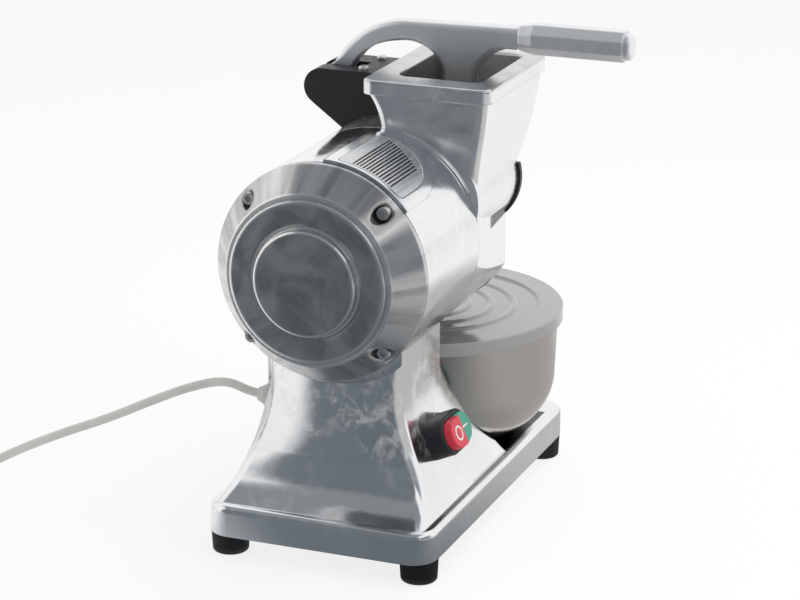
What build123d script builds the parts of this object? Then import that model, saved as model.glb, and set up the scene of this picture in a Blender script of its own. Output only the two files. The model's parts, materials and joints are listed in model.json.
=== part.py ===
from build123d import *
from math import atan, cos, degrees, pi, radians, sin, sqrt, tan
import os

os.makedirs("parts", exist_ok=True)

# An electric grater. X runs from the motor to the grating head, the operator
# stands at -Y, Z is up, and the floor is Z = 0. Sizes are in millimetres.

# Clearances
seat_gap = 0.05  # round piece clamped or pressed in its seat
run_gap = 0.06  # shaft or pin turning in its bore
thread_gap = 0.1  # screw in its hole
loose_gap = 0.4  # pieces that slide or lift apart
cut_past = 1  # holes and cuts run this much further

# Base and feet
foot_h = 16.5
foot_top_r = 13.4
foot_bottom_r = 12.5
foot_round = 2.5
foot_inset_x = 17.5
foot_inset_y = 13.5
foot_boss_wall = 1.5
foot_recess = 8.25  # for the screw head
base_len = 287
base_w = 167
base_h = 22.2
base_lead = 20  # base ahead of the cover's flange
base_corner_r = 18
base_edge_r = 5
base_wall = 7
deck_t = 6
plate_t = 2
plate_boss_r = 6
plate_boss_x = 120
plate_boss_y = 35

# Pedestal
column_lead = 13  # column behind the cover's flange
column_half_w = 49.5
column_edge_r = 7
column_wall = 8
column_inset_far = 2
flare_h = 80.5
flare_w = 27
flare_lead = 27
flare_far = 78
flare_power = 1.45
toe_power = 5
wire_hole_r = 5

# Motor barrel
motor_rise = 170.5  # deck to motor axis
barrel_r = 75
barrel_len = 96
barrel_bore_r = 66
front_wall = 13
lug_r = 7.5
lug_len = 18

# Rear cover
cover_depth = 33.25
cover_lip = 3.5
cover_rim_r = 58.8
cover_rim_depth = 25.5
cover_boss_r = 55.5
cover_boss_depth = 28
cover_disc_r = 36.3
cover_groove_w = 2.8
cover_groove_depth = 1
cover_wall = 5
cover_spigot = 5
cover_screw_circle = 67.7
cover_screw_seat = 7
cover_sink_r = 5.8
edge_round = 1.6

# Screws: shank radius, head radius, head height
m3 = (1.5, 2.9, 2.6)
m4 = (2, 3.6, 2.8)
m5 = (2.5, 4.25, 5)
m6 = (3, 5, 5.5)
screw_bite = 14
small_bite = 8

# Vent grille
vent_angle = 66  # above the operator's side
vent_start = 4
vent_len = 69
vent_top = 22.5
vent_low = 27.5
vent_far_r = 40
vent_near_r = 4
vent_t = 3
pad_h = 2  # the vent's pad over the barrel
pad_margin = 8
vent_ledge = 4
vent_reach = 24  # cuts through the curve of the barrel
slot_count = 13
slot_pitch = 2.45
slot_w = 1.2
slot_start = 1.8
slot_len = 56  # middle slot
slot_grow = 1.5

# Motor
stator_start = 19
stator_in_r = 37
stator_slots = 24
stator_slot_w = 5
stator_slot_depth = 15
air_gap = 0.5
winding_out_r = 53
winding_in_r = 41
winding_len = 12
winding_gap = 4  # to the front wall
shaft_r = 7.5
shaft_nose_r = 6
motor_bearing_r = 17.5
motor_bearing_w = 11
bearing_lip = 2
bearing_groove = 0.8
bearing_boss_wall = 4.5
cover_floor = 6.25
fan_r = 46
fan_w = 10
fan_hub_r = 13
fan_plate_t = 2
fan_blades = 9
fan_blade_t = 2
fan_blade_inset = 1.5
fan_gap = 3

# Gear pair
gear_module = 1.5
pinion_teeth = 30
gear_teeth = 31
pressure_angle = 20
backlash = 0.16
gear_w = 8
gear_setback = 2.5

# Grating head
roller_side = 37  # roller axis toward the operator from the motor axis
head_len = 80
gear_bay = 11.5
gear_bay_gap = 1.5
roller_wall = 8
roller_boss_r = 37
flat_near = 73.4
flat_far = 65
flat_up = 38
chamber_r = 29.5
throat_half = 28.8
chute_half = 21
chute_end_wall = 3
pocket_wall = 6
pocket_side = 2
pocket_floor = 8
bolt_circle = 60
bolt_angles = (20, 90, -70, -145)
bolt_boss_r = 8
bolt_bite = 15

# Hopper; X is taken from the head's near face
# Belly: height over the motor axis, far wall, front wall, back wall, corner radius
hopper_belly = ((38, 88, 72, 4, 6), (60, 108, 74, 2, 6), (80, 114, 77, 0, 6))
hopper_top = (117, 79, -9.5, 6)
rim_up = 108
rim_h = 10
rim_near = -2
rim_far = 121
rim_front = 81.5
rim_back = 12.5
rim_corner_r = 9
rim_edge_r = 2.2
mouth_near = 18.5
mouth_far = 111
mouth_half = 31
mouth_corner_r = 8
throat_up = 80
throat_far_up = 104
throat_far_mid = 96
throat_mid_up = 60
throat_far_low = 78.5

# Roller
bearing_r = 14
bearing_w = 8
roller_shaft_r = 6
drum_gap = 1
drum_end_gap = 2.5
drum_r = 27.3
drum_t = 1.9
tooth_h = 1.2
tooth_r = 1.7
tooth_tip_r = 0.4
tooth_rows = 8
teeth_round = 14
hub_t = 7
hub_gap = 1.5  # to the boss inside the drum
end_disc_r = 38.9
end_disc_t = 4
end_chord = 10.4
end_boss_wall = 4
end_screw_circle = 34.5
end_screw_angles = (172, 215, 325, 8)

# Lever
lever_in = 65  # behind the head's near face
lever_t = 14
lever_edge_r = 4.5
pivot_y = 60
pivot_up = 88.7
pivot_r = 4
eye_r = 10
eye_in_angle = 198
eye_out_angle = 45
lever_top = 138.9
lever_top_drop = 1.5  # toward the arch
lever_web_h = 15.2
lever_web_drop = 1.2
lever_web_flat = 4
lever_end = 80
arm_foot_up = 103
arm_foot_out = 57.6
arm_foot_in = 43
arch_y = 6
# Heights of the bows of the lever outline over their chords
arm_out_bow = 8
arm_in_bow = 5.5
stem_back_bow = 8.7
stem_front_bow = 6.7
stem_w = 19.4
stem_arch_up = 96.5
presser_ahead = 41
presser_behind = 21
presser_half = 23.5
presser_up = 60.5
presser_t = 7.5
presser_hub_w = 28
presser_hub_t = 8
stud_r = 7
grip_start = 86
grip_len = 70
grip_taper = 5
grip_neck = 17
grip_shoulder = 19
grip_flat = 21
cap_len = 5
cap_round = 3
cap_inset = 1
magnet_r = 4
magnet_t = 4
magnet_in = 6
magnet_up = 8.5
reed_r = 3.4
reed_len = 6

# Hinge housing
housing_ahead = 23
housing_behind = 27
housing_round = 13.3
housing_slope = 36.5
housing_root = -4
slot_side = 0.5
slot_floor_up = 66
slot_back = 34
pin_blind = 3.2
hinge_bolt_ups = (72.5, 84)
hinge_bolt_bite = 40.2
hinge_screw_y = 31
hinge_screw_inset = 8

# Push buttons
switch_in = 13.5  # ahead of the pedestal's inner far wall
switch_up = -130.2
switch_tilt = 24  # faces upward, square to the flared side
switch_len = 46
switch_w = 27
switch_stand = 14  # out of the pedestal's side
switch_root = 2
switch_wall = 1.6
switch_lip = 1
switch_front_t = 3
switch_floor = 3.6
switch_round = 2
button_gap = 0.3
button_flange_t = 1.5
button_parting = 0.8
start_stand = 2.5
stop_stand = 6
button_round = 1
button_travel = 3
block_len = 36
block_w = 14
neck_r = 8
neck_wall = 2
neck_past = 3  # beyond the nut
nut_t = 4
nut_flat = 20
nut_spot_gap = 0.65  # flat milled around the nut inside the wall

# Gland and cord
gland_x = 40
gland_up = -108.5
gland_boss_r = 10.5
gland_boss_y = 55
gland_flat = 16.5
gland_flange_t = 5
gland_dome_t = 6
gland_dome_r = 5
gland_thread_r = 6
gland_reach = 36
gland_nut_flat = 18
gland_nut_t = 4
cord_d = 6.2
cord_seat = 6
gland_run = 6

# Coil, tie and plug
coil_x = -26
coil_y = 366
coil_out_r = 44.1
coil_step = 6.9
coil_layer = 6.8
coil_start_angle = 220.5
coil_turns = 6 + 130.5 / 360
coil_run = 36
tie_angle = -20
tie_w = 8
tie_t = 0.8
tie_gap = 0.35
sleeve_len = 30
sleeve_r = 3.5
plug_len = 38
plug_shoulder = 12.7
plug_half_w = 18
plug_neck_r = 8
pin_r = 2.4
pin_len = 19
pin_pitch = 19

# Bowl and lid
bowl_in = 94  # behind the head's near face
bowl_top_r = 96
bowl_taper = 2
bowl_corner_r = 42
bowl_wall = 1.2
bead_h = 3
bead_w = 1.5
lid_wall = 1.6
lid_edge = 1
lid_clear = 3
lid_h = 9.5
lid_t = 2.5
lid_dish_in = 19  # from the lid's edge
lid_dish_depth = 1.6
lid_ridges = 4
lid_ridge_pitch = 16.6
lid_ridge_w = 7
lid_ridge_h = 1.5
scoop_gap = 7
scoop_mid_up = 32.5
scoop_mid_gap = 0
scoop_low_up = 11
scoop_low_gap = -10

# Supply parts in the pedestal
capacitor_r = 15
capacitor_h = 52
capacitor_y = -22
block_y = 24
terminal_l = 40
terminal_w = 20
terminal_h = 18

# Places worked out from the sizes; the frame's origin is under the middle
bead_r = bowl_top_r + bead_w
lid_r = bead_r + loose_gap + lid_wall
bowl_low_r = bowl_top_r - bowl_taper
bowl_dx = barrel_len + bowl_in
cavity_near = column_lead + column_wall
cavity_far = bowl_dx - lid_r - scoop_gap - column_wall
switch_x = cavity_far - switch_in
neck_reach = column_wall + nut_t + neck_past
nut_spot_r = nut_flat / sqrt(3) + nut_spot_gap
supply_x = (cavity_near + cavity_far) / 2
lever_x = barrel_len + lever_in
housing_near = lever_x - housing_ahead
housing_far = lever_x + housing_behind
grip_up = lever_top - lever_web_h / 2
grip_end = grip_start + grip_len
flange_x = (cover_depth - bowl_dx - lid_r) / 2
motor_y = (grip_end + cap_len - lid_r) / 2
deck_z = foot_h + base_h
axis_z = deck_z + motor_rise
base_x = flange_x - base_lead + base_len / 2
head_end = barrel_len + head_len
stator_len = barrel_len - front_wall - winding_gap - winding_len - stator_start
centre_distance = gear_module * (pinion_teeth + gear_teeth) / 2
roller_up = sqrt(centre_distance**2 - roller_side**2)
roller_y = motor_y - roller_side
roller_z = axis_z + roller_up
chamber_in = gear_bay + roller_wall
chamber_start = barrel_len + chamber_in
bowl_x = flange_x + bowl_dx
lid_top = axis_z - barrel_r - lid_clear
rim_z = lid_top - lid_t
cord_r = cord_d / 2
vent_r = barrel_r + pad_h
housing_up = pivot_up + housing_round
housing_step = rim_back + loose_gap


def motor_plane(dx):
    return Plane((flange_x + dx, motor_y, axis_z), x_dir=(0, 1, 0), z_dir=(1, 0, 0))


def roller_plane(dx):
    return Plane((flange_x + dx, roller_y, roller_z), x_dir=(0, 1, 0), z_dir=(1, 0, 0))


def front_plane(dx, dy, up):
    return Plane((flange_x + dx, motor_y + dy, axis_z + up), x_dir=(1, 0, 0), z_dir=(0, -1, 0))


def gland_plane(dy):
    return front_plane(gland_x, dy, gland_up)


def floor_plane(z):
    return Plane((flange_x, motor_y, z))


def head_floor(z):
    return Plane((flange_x + barrel_len, motor_y, z))


def round_face(plane, radius, spots=((0, 0),)):
    with BuildSketch(plane) as face:
        with Locations(*spots):
            Circle(radius)
    return face.sketch


def ring_face(plane, outer, inner):
    with BuildSketch(plane) as face:
        Circle(outer)
        Circle(inner, mode=Mode.SUBTRACT)
    return face.sketch


def box_face(plane, left, right, low, high, corner=0.0):
    with BuildSketch(plane) as face:
        with Locations(((left + right) / 2, (low + high) / 2)):
            if corner > 0:
                RectangleRounded(right - left, high - low, corner)
            else:
                Rectangle(right - left, high - low)
    return face.sketch


def slot_face(plane, length, width, shrink=0.0):
    with BuildSketch(plane) as face:
        SlotOverall(length - 2 * shrink, width - 2 * shrink)
    return face.sketch


def hex_face(plane, across):
    with BuildSketch(plane) as face:
        RegularPolygon(across / 2, 6, major_radius=False)
    return face.sketch


def polar(radius, angles):
    return [(radius * cos(radians(a)), radius * sin(radians(a))) for a in angles]


motor_side = front_plane(0, 0, 0)
motor_axis = Axis((flange_x, motor_y, axis_z), (1, 0, 0))
roller_side_plane = Plane((flange_x, roller_y, roller_z), x_dir=(1, 0, 0), z_dir=(0, -1, 0))
roller_axis = Axis((flange_x, roller_y, roller_z), (1, 0, 0))
bowl_side = Plane((bowl_x, motor_y, 0), x_dir=(1, 0, 0), z_dir=(0, -1, 0))
bowl_axis = Axis((bowl_x, motor_y, 0), (0, 0, 1))

foot_x = base_len / 2 - foot_inset_x
foot_y = base_w / 2 - foot_inset_y
foot_spots = [(base_x + sx * foot_x, motor_y + sy * foot_y) for sx in (-1, 1) for sy in (-1, 1)]
plate_spots = [(base_x + sx * plate_boss_x, motor_y + sy * plate_boss_y) for sx in (-1, 1) for sy in (-1, 1)]
foot_boss_r = foot_top_r + foot_boss_wall
cover_screw_spots = polar(cover_screw_circle, (45, 135, 225, 315))
bolt_spots = polar(bolt_circle, bolt_angles)
end_screw_spots = polar(end_screw_circle, end_screw_angles)


def tray_face(z, inset, boss_r, small_r=0.0):
    with BuildSketch(Plane.XY.offset(z)) as face:
        with Locations((base_x, motor_y)):
            RectangleRounded(base_len - 2 * inset, base_w - 2 * inset, base_corner_r - inset)
        with Locations(*foot_spots):
            Circle(boss_r, mode=Mode.SUBTRACT)
        if small_r > 0:
            with Locations(*plate_spots):
                Circle(small_r, mode=Mode.SUBTRACT)
    return face.sketch


def column_half(z):
    drop = max(0.0, (deck_z + flare_h - z) / flare_h)
    return column_half_w + flare_w * drop**flare_power


def column_face(drop):
    near = column_lead - flare_lead * drop**toe_power
    far = barrel_len - column_inset_far + flare_far * drop**flare_power
    half = column_half_w + flare_w * drop**flare_power
    return box_face(floor_plane(deck_z + flare_h * (1 - drop)), near, far, -half, half, column_edge_r)


def switch_plane(out):
    z = axis_z + switch_up
    side, rise = cos(radians(switch_tilt)), sin(radians(switch_tilt))
    origin = (flange_x + switch_x, motor_y - column_half(z) - out * side, z + out * rise)
    return Plane(origin, x_dir=(1, 0, 0), z_dir=(0, -side, rise))


def cavity_face(z):
    half = column_half(z) - column_wall
    return box_face(floor_plane(z), cavity_near, cavity_far, -half, half, column_edge_r)


# Vent grille outline, drawn on the plane that touches the barrel
vent_rad = radians(vent_angle)
vent_plane = Plane(
    (flange_x, motor_y - barrel_r * cos(vent_rad), axis_z + barrel_r * sin(vent_rad)),
    x_dir=(1, 0, 0),
    z_dir=(0, -cos(vent_rad), sin(vent_rad)),
)


def vent_face(shrink):
    left = vent_start + shrink
    right = vent_start + vent_len - shrink
    top = vent_top - shrink
    low = -vent_low + shrink
    corners = ((left, low), (right, low), (right, top), (left, top))
    with BuildSketch(vent_plane) as face:
        with BuildLine():
            rounds = (vent_near_r, vent_far_r - shrink, vent_near_r, vent_near_r)
            FilletPolyline(*corners, radius=rounds, close=True)
        make_face()
    return face.sketch


def vent_shell(inner, outer, shrink):
    with BuildPart() as shell:
        extrude(ring_face(motor_plane(0), outer, inner), amount=barrel_len)
        extrude(vent_face(shrink), amount=vent_reach, both=True, mode=Mode.INTERSECT)
    return shell.part


# Body casting: base, pedestal and motor barrel
with BuildPart() as body_casting:
    with BuildSketch(Plane.XY.offset(foot_h)):
        with Locations((base_x, motor_y)):
            RectangleRounded(base_len, base_w, base_corner_r)
    extrude(amount=base_h)
    fillet(body_casting.faces().sort_by(Axis.Z)[-1].edges(), base_edge_r)
    loft([column_face(drop) for drop in (0, 0.15, 0.35, 0.55, 0.75, 0.9, 1.03)])
    extrude(column_face(0), amount=axis_z - deck_z - flare_h - barrel_bore_r / 2)
    # Round bay for the bowl
    with BuildSketch(bowl_side):
        with BuildLine():
            bay = Polyline(
                (lid_r + scoop_gap, lid_top + lid_clear),
                (bowl_top_r + scoop_mid_gap, deck_z + scoop_mid_up),
                (bowl_top_r + scoop_low_gap, deck_z + scoop_low_up),
                (bowl_top_r + scoop_low_gap, deck_z),
            )
            Polyline(bay @ 1, (0, deck_z), (0, axis_z), (lid_r + scoop_gap, axis_z), bay @ 0)
        make_face()
    revolve(axis=bowl_axis, mode=Mode.SUBTRACT)
    extrude(round_face(motor_plane(0), barrel_r), amount=barrel_len)
    # Hollows of the barrel, column and base
    extrude(round_face(motor_plane(0), barrel_bore_r), amount=barrel_len - front_wall, mode=Mode.SUBTRACT)
    extrude(round_face(motor_plane(0), lug_r, polar(barrel_bore_r, (45, 135, 225, 315))), amount=lug_len)
    extrude(ring_face(motor_plane(0), barrel_r + lug_r, barrel_r), amount=lug_len, mode=Mode.SUBTRACT)
    extrude(tray_face(foot_h, base_wall, foot_boss_r), amount=plate_t, mode=Mode.SUBTRACT)
    extrude(
        tray_face(foot_h + plate_t, base_wall, foot_boss_r, plate_boss_r),
        amount=base_h - deck_t - plate_t,
        mode=Mode.SUBTRACT,
    )
    cavity_top = axis_z - barrel_r - column_wall
    loft(
        [
            cavity_face(deck_z - deck_t),
            cavity_face(deck_z + flare_h / 2),
            cavity_face(cavity_top),
        ],
        ruled=True,
        mode=Mode.SUBTRACT,
    )
    wire_spot = (cavity_far - wire_hole_r - cut_past, 0)
    extrude(
        round_face(floor_plane(cavity_top), wire_hole_r, (wire_spot,)),
        amount=4 * column_wall,
        mode=Mode.SUBTRACT,
    )
    # Front bearing seat, bolt and screw holes
    seat_start = barrel_len - motor_bearing_w
    extrude(
        round_face(motor_plane(seat_start), motor_bearing_r + seat_gap),
        amount=motor_bearing_w,
        mode=Mode.SUBTRACT,
    )
    extrude(
        round_face(motor_plane(barrel_len - front_wall), motor_bearing_r - bearing_lip),
        amount=front_wall,
        mode=Mode.SUBTRACT,
    )
    extrude(
        round_face(motor_plane(barrel_len - front_wall), m6[0] + thread_gap, bolt_spots),
        amount=front_wall,
        mode=Mode.SUBTRACT,
    )
    extrude(
        round_face(motor_plane(0), m5[0] + thread_gap, cover_screw_spots),
        amount=screw_bite + cut_past,
        mode=Mode.SUBTRACT,
    )
    extrude(
        round_face(Plane.XY.offset(foot_h), m4[0] + thread_gap, foot_spots),
        amount=screw_bite + cut_past,
        mode=Mode.SUBTRACT,
    )
    extrude(
        round_face(Plane.XY.offset(foot_h), m3[0] + thread_gap, plate_spots),
        amount=plate_t + small_bite + cut_past,
        mode=Mode.SUBTRACT,
    )
    # Vent pad, and its opening with a ledge
    add(vent_shell(barrel_r - cut_past, vent_r, -pad_margin))
    extrude(vent_face(vent_ledge), amount=-vent_reach, mode=Mode.SUBTRACT)
    add(vent_shell(vent_r - vent_t, vent_r + cut_past, 0), mode=Mode.SUBTRACT)
    # Cable gland boss and holes through the sides
    gland_wall = column_half(axis_z + gland_up) - column_wall
    extrude(
        round_face(gland_plane(gland_wall), gland_boss_r),
        amount=gland_wall - gland_boss_y,
    )
    extrude(
        round_face(gland_plane(gland_boss_y + cut_past), gland_thread_r + thread_gap),
        amount=gland_boss_y - gland_reach + column_wall,
        mode=Mode.SUBTRACT,
    )
    extrude(
        round_face(switch_plane(-neck_reach), neck_r + thread_gap),
        amount=neck_reach + switch_stand,
        mode=Mode.SUBTRACT,
    )
    extrude(
        round_face(switch_plane(-neck_reach), nut_spot_r),
        amount=neck_reach - column_wall,
        mode=Mode.SUBTRACT,
    )

body_casting.part.label = "body_casting"
export_step(body_casting.part, "parts/body_casting.step")

# Rear cover of the motor, with the rear bearing seat inside
rear_seat = cover_floor - cover_depth
with BuildPart() as rear_cover:
    with BuildSketch(motor_side):
        with BuildLine():
            disc_foot = (-cover_boss_depth + cover_groove_depth, cover_disc_r)
            disc_edge = Line(disc_foot, (edge_round - cover_depth, cover_disc_r))
            disc_flat = (-cover_depth, cover_disc_r - edge_round)
            disc_round = TangentArc(disc_edge @ 1, disc_flat, tangent=disc_edge % 1)
            Polyline(disc_round @ 1, (-cover_depth, 0), (rear_seat, 0))
            Polyline(
                (rear_seat, 0),
                (rear_seat, motor_bearing_r + seat_gap),
                (rear_seat + motor_bearing_w, motor_bearing_r + seat_gap),
                (rear_seat + motor_bearing_w, motor_bearing_r + bearing_boss_wall),
                (cover_wall - cover_boss_depth, motor_bearing_r + bearing_boss_wall),
                (cover_wall - cover_boss_depth, cover_boss_r - cover_wall),
                (cover_spigot, barrel_bore_r - cover_wall),
                (cover_spigot, barrel_bore_r - seat_gap),
                (0, barrel_bore_r - seat_gap),
                (0, barrel_r),
                (-cover_lip, barrel_r),
                (-cover_rim_depth, cover_rim_r),
                (-cover_rim_depth, cover_boss_r + edge_round),
                (-cover_rim_depth + cover_groove_depth, cover_boss_r + edge_round),
                (-cover_rim_depth + cover_groove_depth, cover_boss_r),
                (-cover_boss_depth, cover_boss_r),
                (-cover_boss_depth, cover_disc_r + cover_groove_w),
                (-cover_boss_depth + cover_groove_depth, cover_disc_r + cover_groove_w),
                disc_edge @ 0,
            )
        make_face()
    revolve(axis=motor_axis)
    extrude(
        round_face(motor_plane(-cover_screw_seat), cover_sink_r, cover_screw_spots),
        amount=-cover_depth,
        mode=Mode.SUBTRACT,
    )
    extrude(
        round_face(motor_plane(-cover_screw_seat), m5[0] + thread_gap, cover_screw_spots),
        amount=2 * cover_screw_seat,
        mode=Mode.SUBTRACT,
    )
    # Screw lugs of the barrel pass the spigot
    extrude(
        round_face(motor_plane(0), lug_r + loose_gap, polar(barrel_bore_r, (45, 135, 225, 315))),
        amount=cover_spigot,
        mode=Mode.SUBTRACT,
    )

rear_cover.part.label = "rear_cover"
export_step(rear_cover.part, "parts/rear_cover.step")

# Socket screws of the rear cover
with BuildPart() as cover_screws:
    extrude(round_face(motor_plane(-cover_screw_seat), m5[1], cover_screw_spots), amount=-m5[2])
    extrude(
        round_face(motor_plane(-cover_screw_seat), m5[0], cover_screw_spots),
        amount=cover_screw_seat + screw_bite,
    )
    with BuildSketch(motor_plane(-cover_screw_seat - m5[2])):
        with Locations(*cover_screw_spots):
            RegularPolygon(m5[0], 6)
    extrude(amount=m5[2] / 2, mode=Mode.SUBTRACT)

cover_screws.part.label = "cover_screws"
export_step(cover_screws.part, "parts/cover_screws.step")

# Slotted vent plate, curved as its pad
with BuildPart() as vent_grille:
    add(vent_shell(vent_r - vent_t + seat_gap, vent_r, seat_gap))
    with BuildSketch(vent_plane):
        for i in range(slot_count):
            rank = i - slot_count // 2
            length = slot_len + slot_grow * rank
            with Locations((slot_start + vent_start + length / 2, rank * slot_pitch - slot_pitch)):
                SlotOverall(length, slot_w)
    extrude(amount=vent_reach, both=True, mode=Mode.SUBTRACT)

vent_grille.part.label = "vent_grille"
export_step(vent_grille.part, "parts/vent_grille.step")

# Feet and the bottom plate
with BuildPart() as rubber_feet:
    for spot in foot_spots:
        foot_ends = [(0, foot_bottom_r), (foot_h, foot_top_r)]
        loft([round_face(Plane.XY.offset(z), radius, (spot,)) for z, radius in foot_ends])
    fillet(rubber_feet.edges().group_by(Axis.Z)[0], foot_round)
    extrude(round_face(Plane.XY, m4[1] + loose_gap, foot_spots), amount=foot_recess, mode=Mode.SUBTRACT)
    extrude(round_face(Plane.XY, m4[0] + thread_gap, foot_spots), amount=foot_h, mode=Mode.SUBTRACT)

rubber_feet.part.label = "rubber_feet"
export_step(rubber_feet.part, "parts/rubber_feet.step")

with BuildPart() as foot_screws:
    extrude(round_face(Plane.XY.offset(foot_recess), m4[1], foot_spots), amount=-m4[2])
    extrude(
        round_face(Plane.XY.offset(foot_recess), m4[0], foot_spots),
        amount=foot_h - foot_recess + screw_bite,
    )

foot_screws.part.label = "foot_screws"
export_step(foot_screws.part, "parts/foot_screws.step")

with BuildPart() as bottom_plate:
    extrude(tray_face(foot_h, base_wall + loose_gap, foot_boss_r + loose_gap), amount=plate_t)
    extrude(
        round_face(Plane.XY.offset(foot_h), m3[0] + thread_gap, plate_spots),
        amount=plate_t,
        mode=Mode.SUBTRACT,
    )

bottom_plate.part.label = "bottom_plate"
export_step(bottom_plate.part, "parts/bottom_plate.step")

with BuildPart() as bottom_screws:
    extrude(round_face(Plane.XY.offset(foot_h), m3[1], plate_spots), amount=-m3[2])
    extrude(round_face(Plane.XY.offset(foot_h), m3[0], plate_spots), amount=plate_t + small_bite)

bottom_screws.part.label = "bottom_screws"
export_step(bottom_screws.part, "parts/bottom_screws.step")

# Motor inside the barrel
with BuildPart() as stator_core:
    with BuildSketch(motor_plane(stator_start)):
        Circle(barrel_bore_r - seat_gap)
        Circle(stator_in_r, mode=Mode.SUBTRACT)
        with PolarLocations(stator_in_r + stator_slot_depth / 2, stator_slots):
            Rectangle(stator_slot_depth + cut_past, stator_slot_w, mode=Mode.SUBTRACT)
    extrude(amount=stator_len)

stator_core.part.label = "stator_core"
export_step(stator_core.part, "parts/stator_core.step")

with BuildPart() as stator_windings:
    for start in (stator_start - winding_len, stator_start + stator_len):
        extrude(ring_face(motor_plane(start), winding_out_r, winding_in_r), amount=winding_len)
    fillet(stator_windings.edges().group_by(Axis.X)[0], edge_round)
    fillet(stator_windings.edges().group_by(Axis.X)[-1], edge_round)

stator_windings.part.label = "stator_windings"
export_step(stator_windings.part, "parts/stator_windings.step")

with BuildPart() as motor_bearings:
    for start in (rear_seat, seat_start):
        extrude(ring_face(motor_plane(start), motor_bearing_r, shaft_r + run_gap), amount=motor_bearing_w)
        groove = ring_face(motor_plane(start), motor_bearing_r - bearing_lip, shaft_r + bearing_lip)
        extrude(groove, amount=bearing_groove, mode=Mode.SUBTRACT)
        end = motor_plane(start + motor_bearing_w)
        groove = ring_face(end, motor_bearing_r - bearing_lip, shaft_r + bearing_lip)
        extrude(groove, amount=-bearing_groove, mode=Mode.SUBTRACT)

motor_bearings.part.label = "motor_bearings"
export_step(motor_bearings.part, "parts/motor_bearings.step")

gear_start = barrel_len + gear_setback
with BuildPart() as motor_shaft:
    extrude(round_face(motor_plane(rear_seat + loose_gap), shaft_r), amount=barrel_len - rear_seat - loose_gap)
    extrude(round_face(motor_plane(barrel_len), shaft_nose_r), amount=gear_setback + gear_w)

motor_shaft.part.label = "motor_shaft"
export_step(motor_shaft.part, "parts/motor_shaft.step")

with BuildPart() as rotor_core:
    extrude(ring_face(motor_plane(stator_start), stator_in_r - air_gap, shaft_r + seat_gap), amount=stator_len)
    chamfer(rotor_core.edges().filter_by(GeomType.CIRCLE).sort_by(SortBy.RADIUS)[-2:], edge_round)

rotor_core.part.label = "rotor_core"
export_step(rotor_core.part, "parts/rotor_core.step")

fan_start = rear_seat + motor_bearing_w + fan_gap
with BuildPart() as cooling_fan:
    extrude(ring_face(motor_plane(fan_start), fan_hub_r, shaft_r + seat_gap), amount=fan_w)
    extrude(ring_face(motor_plane(fan_start), fan_r, shaft_r + seat_gap), amount=fan_plate_t)
    with BuildSketch(motor_plane(fan_start)):
        with PolarLocations((shaft_r + fan_hub_r) / 2, fan_blades):
            blade_len = fan_r - fan_blade_inset - (shaft_r + fan_hub_r) / 2
            Rectangle(blade_len, fan_blade_t, align=(Align.MIN, Align.CENTER))
    extrude(amount=fan_w)

cooling_fan.part.label = "cooling_fan"
export_step(cooling_fan.part, "parts/cooling_fan.step")


def inv(angle):
    return tan(angle) - angle


def gear_face(plane, teeth, first_tooth):
    pitch_r = gear_module * teeth / 2
    base_r = pitch_r * cos(radians(pressure_angle))
    root_r = pitch_r - 1.25 * gear_module
    tip_r = pitch_r + gear_module
    start_r = max(base_r, root_r) + 0.05
    half_pitch = pi / (2 * teeth) - backlash / (4 * pitch_r)

    def half(radius):
        roll = sqrt((radius / base_r) ** 2 - 1)
        return half_pitch + inv(radians(pressure_angle)) - (roll - atan(roll))

    def point(radius, angle):
        return (radius * cos(angle), radius * sin(angle))

    with BuildSketch(plane) as face:
        with BuildLine():
            for i in range(teeth):
                mid = radians(first_tooth) + 2 * pi * i / teeth
                gap_mid = mid + pi / teeth
                next_mid = mid + 2 * pi / teeth
                mid_r = (start_r + tip_r) / 2
                Line(point(root_r, mid - half(start_r)), point(start_r, mid - half(start_r)))
                ThreePointArc(
                    point(start_r, mid - half(start_r)),
                    point(mid_r, mid - half(mid_r)),
                    point(tip_r, mid - half(tip_r)),
                )
                ThreePointArc(
                    point(tip_r, mid - half(tip_r)),
                    point(tip_r, mid),
                    point(tip_r, mid + half(tip_r)),
                )
                ThreePointArc(
                    point(tip_r, mid + half(tip_r)),
                    point(mid_r, mid + half(mid_r)),
                    point(start_r, mid + half(start_r)),
                )
                Line(point(start_r, mid + half(start_r)), point(root_r, mid + half(start_r)))
                ThreePointArc(
                    point(root_r, mid + half(start_r)),
                    point(root_r, gap_mid),
                    point(root_r, next_mid - half(start_r)),
                )
        make_face()
    return face.sketch


mesh_angle = 180 - degrees(atan(roller_up / roller_side))
with BuildPart() as motor_pinion:
    extrude(gear_face(motor_plane(gear_start), pinion_teeth, mesh_angle), amount=gear_w)
    extrude(round_face(motor_plane(gear_start), shaft_nose_r + seat_gap), amount=gear_w, mode=Mode.SUBTRACT)

motor_pinion.part.label = "motor_pinion"
export_step(motor_pinion.part, "parts/motor_pinion.step")

with BuildPart() as drive_gear:
    gear_turn = mesh_angle + 180 + 180 / gear_teeth
    extrude(gear_face(roller_plane(gear_start), gear_teeth, gear_turn), amount=gear_w)
    extrude(round_face(roller_plane(gear_start), roller_shaft_r + seat_gap), amount=gear_w, mode=Mode.SUBTRACT)

drive_gear.part.label = "drive_gear"
export_step(drive_gear.part, "parts/drive_gear.step")

# Head casting: roller chamber, hopper and discharge
gear_bay_r = gear_module * (gear_teeth / 2 + 1) + gear_bay_gap
pinion_bay_r = gear_module * (pinion_teeth / 2 + 1) + gear_bay_gap


def belly_face(up, far, front, back, corner):
    return box_face(head_floor(axis_z + up), 0, far, -front, -back, corner)


def throat_face(up, near, far, half):
    plane = head_floor(axis_z + up)
    return box_face(plane, near, far, -roller_side - half, half - roller_side, mouth_corner_r)


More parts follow.
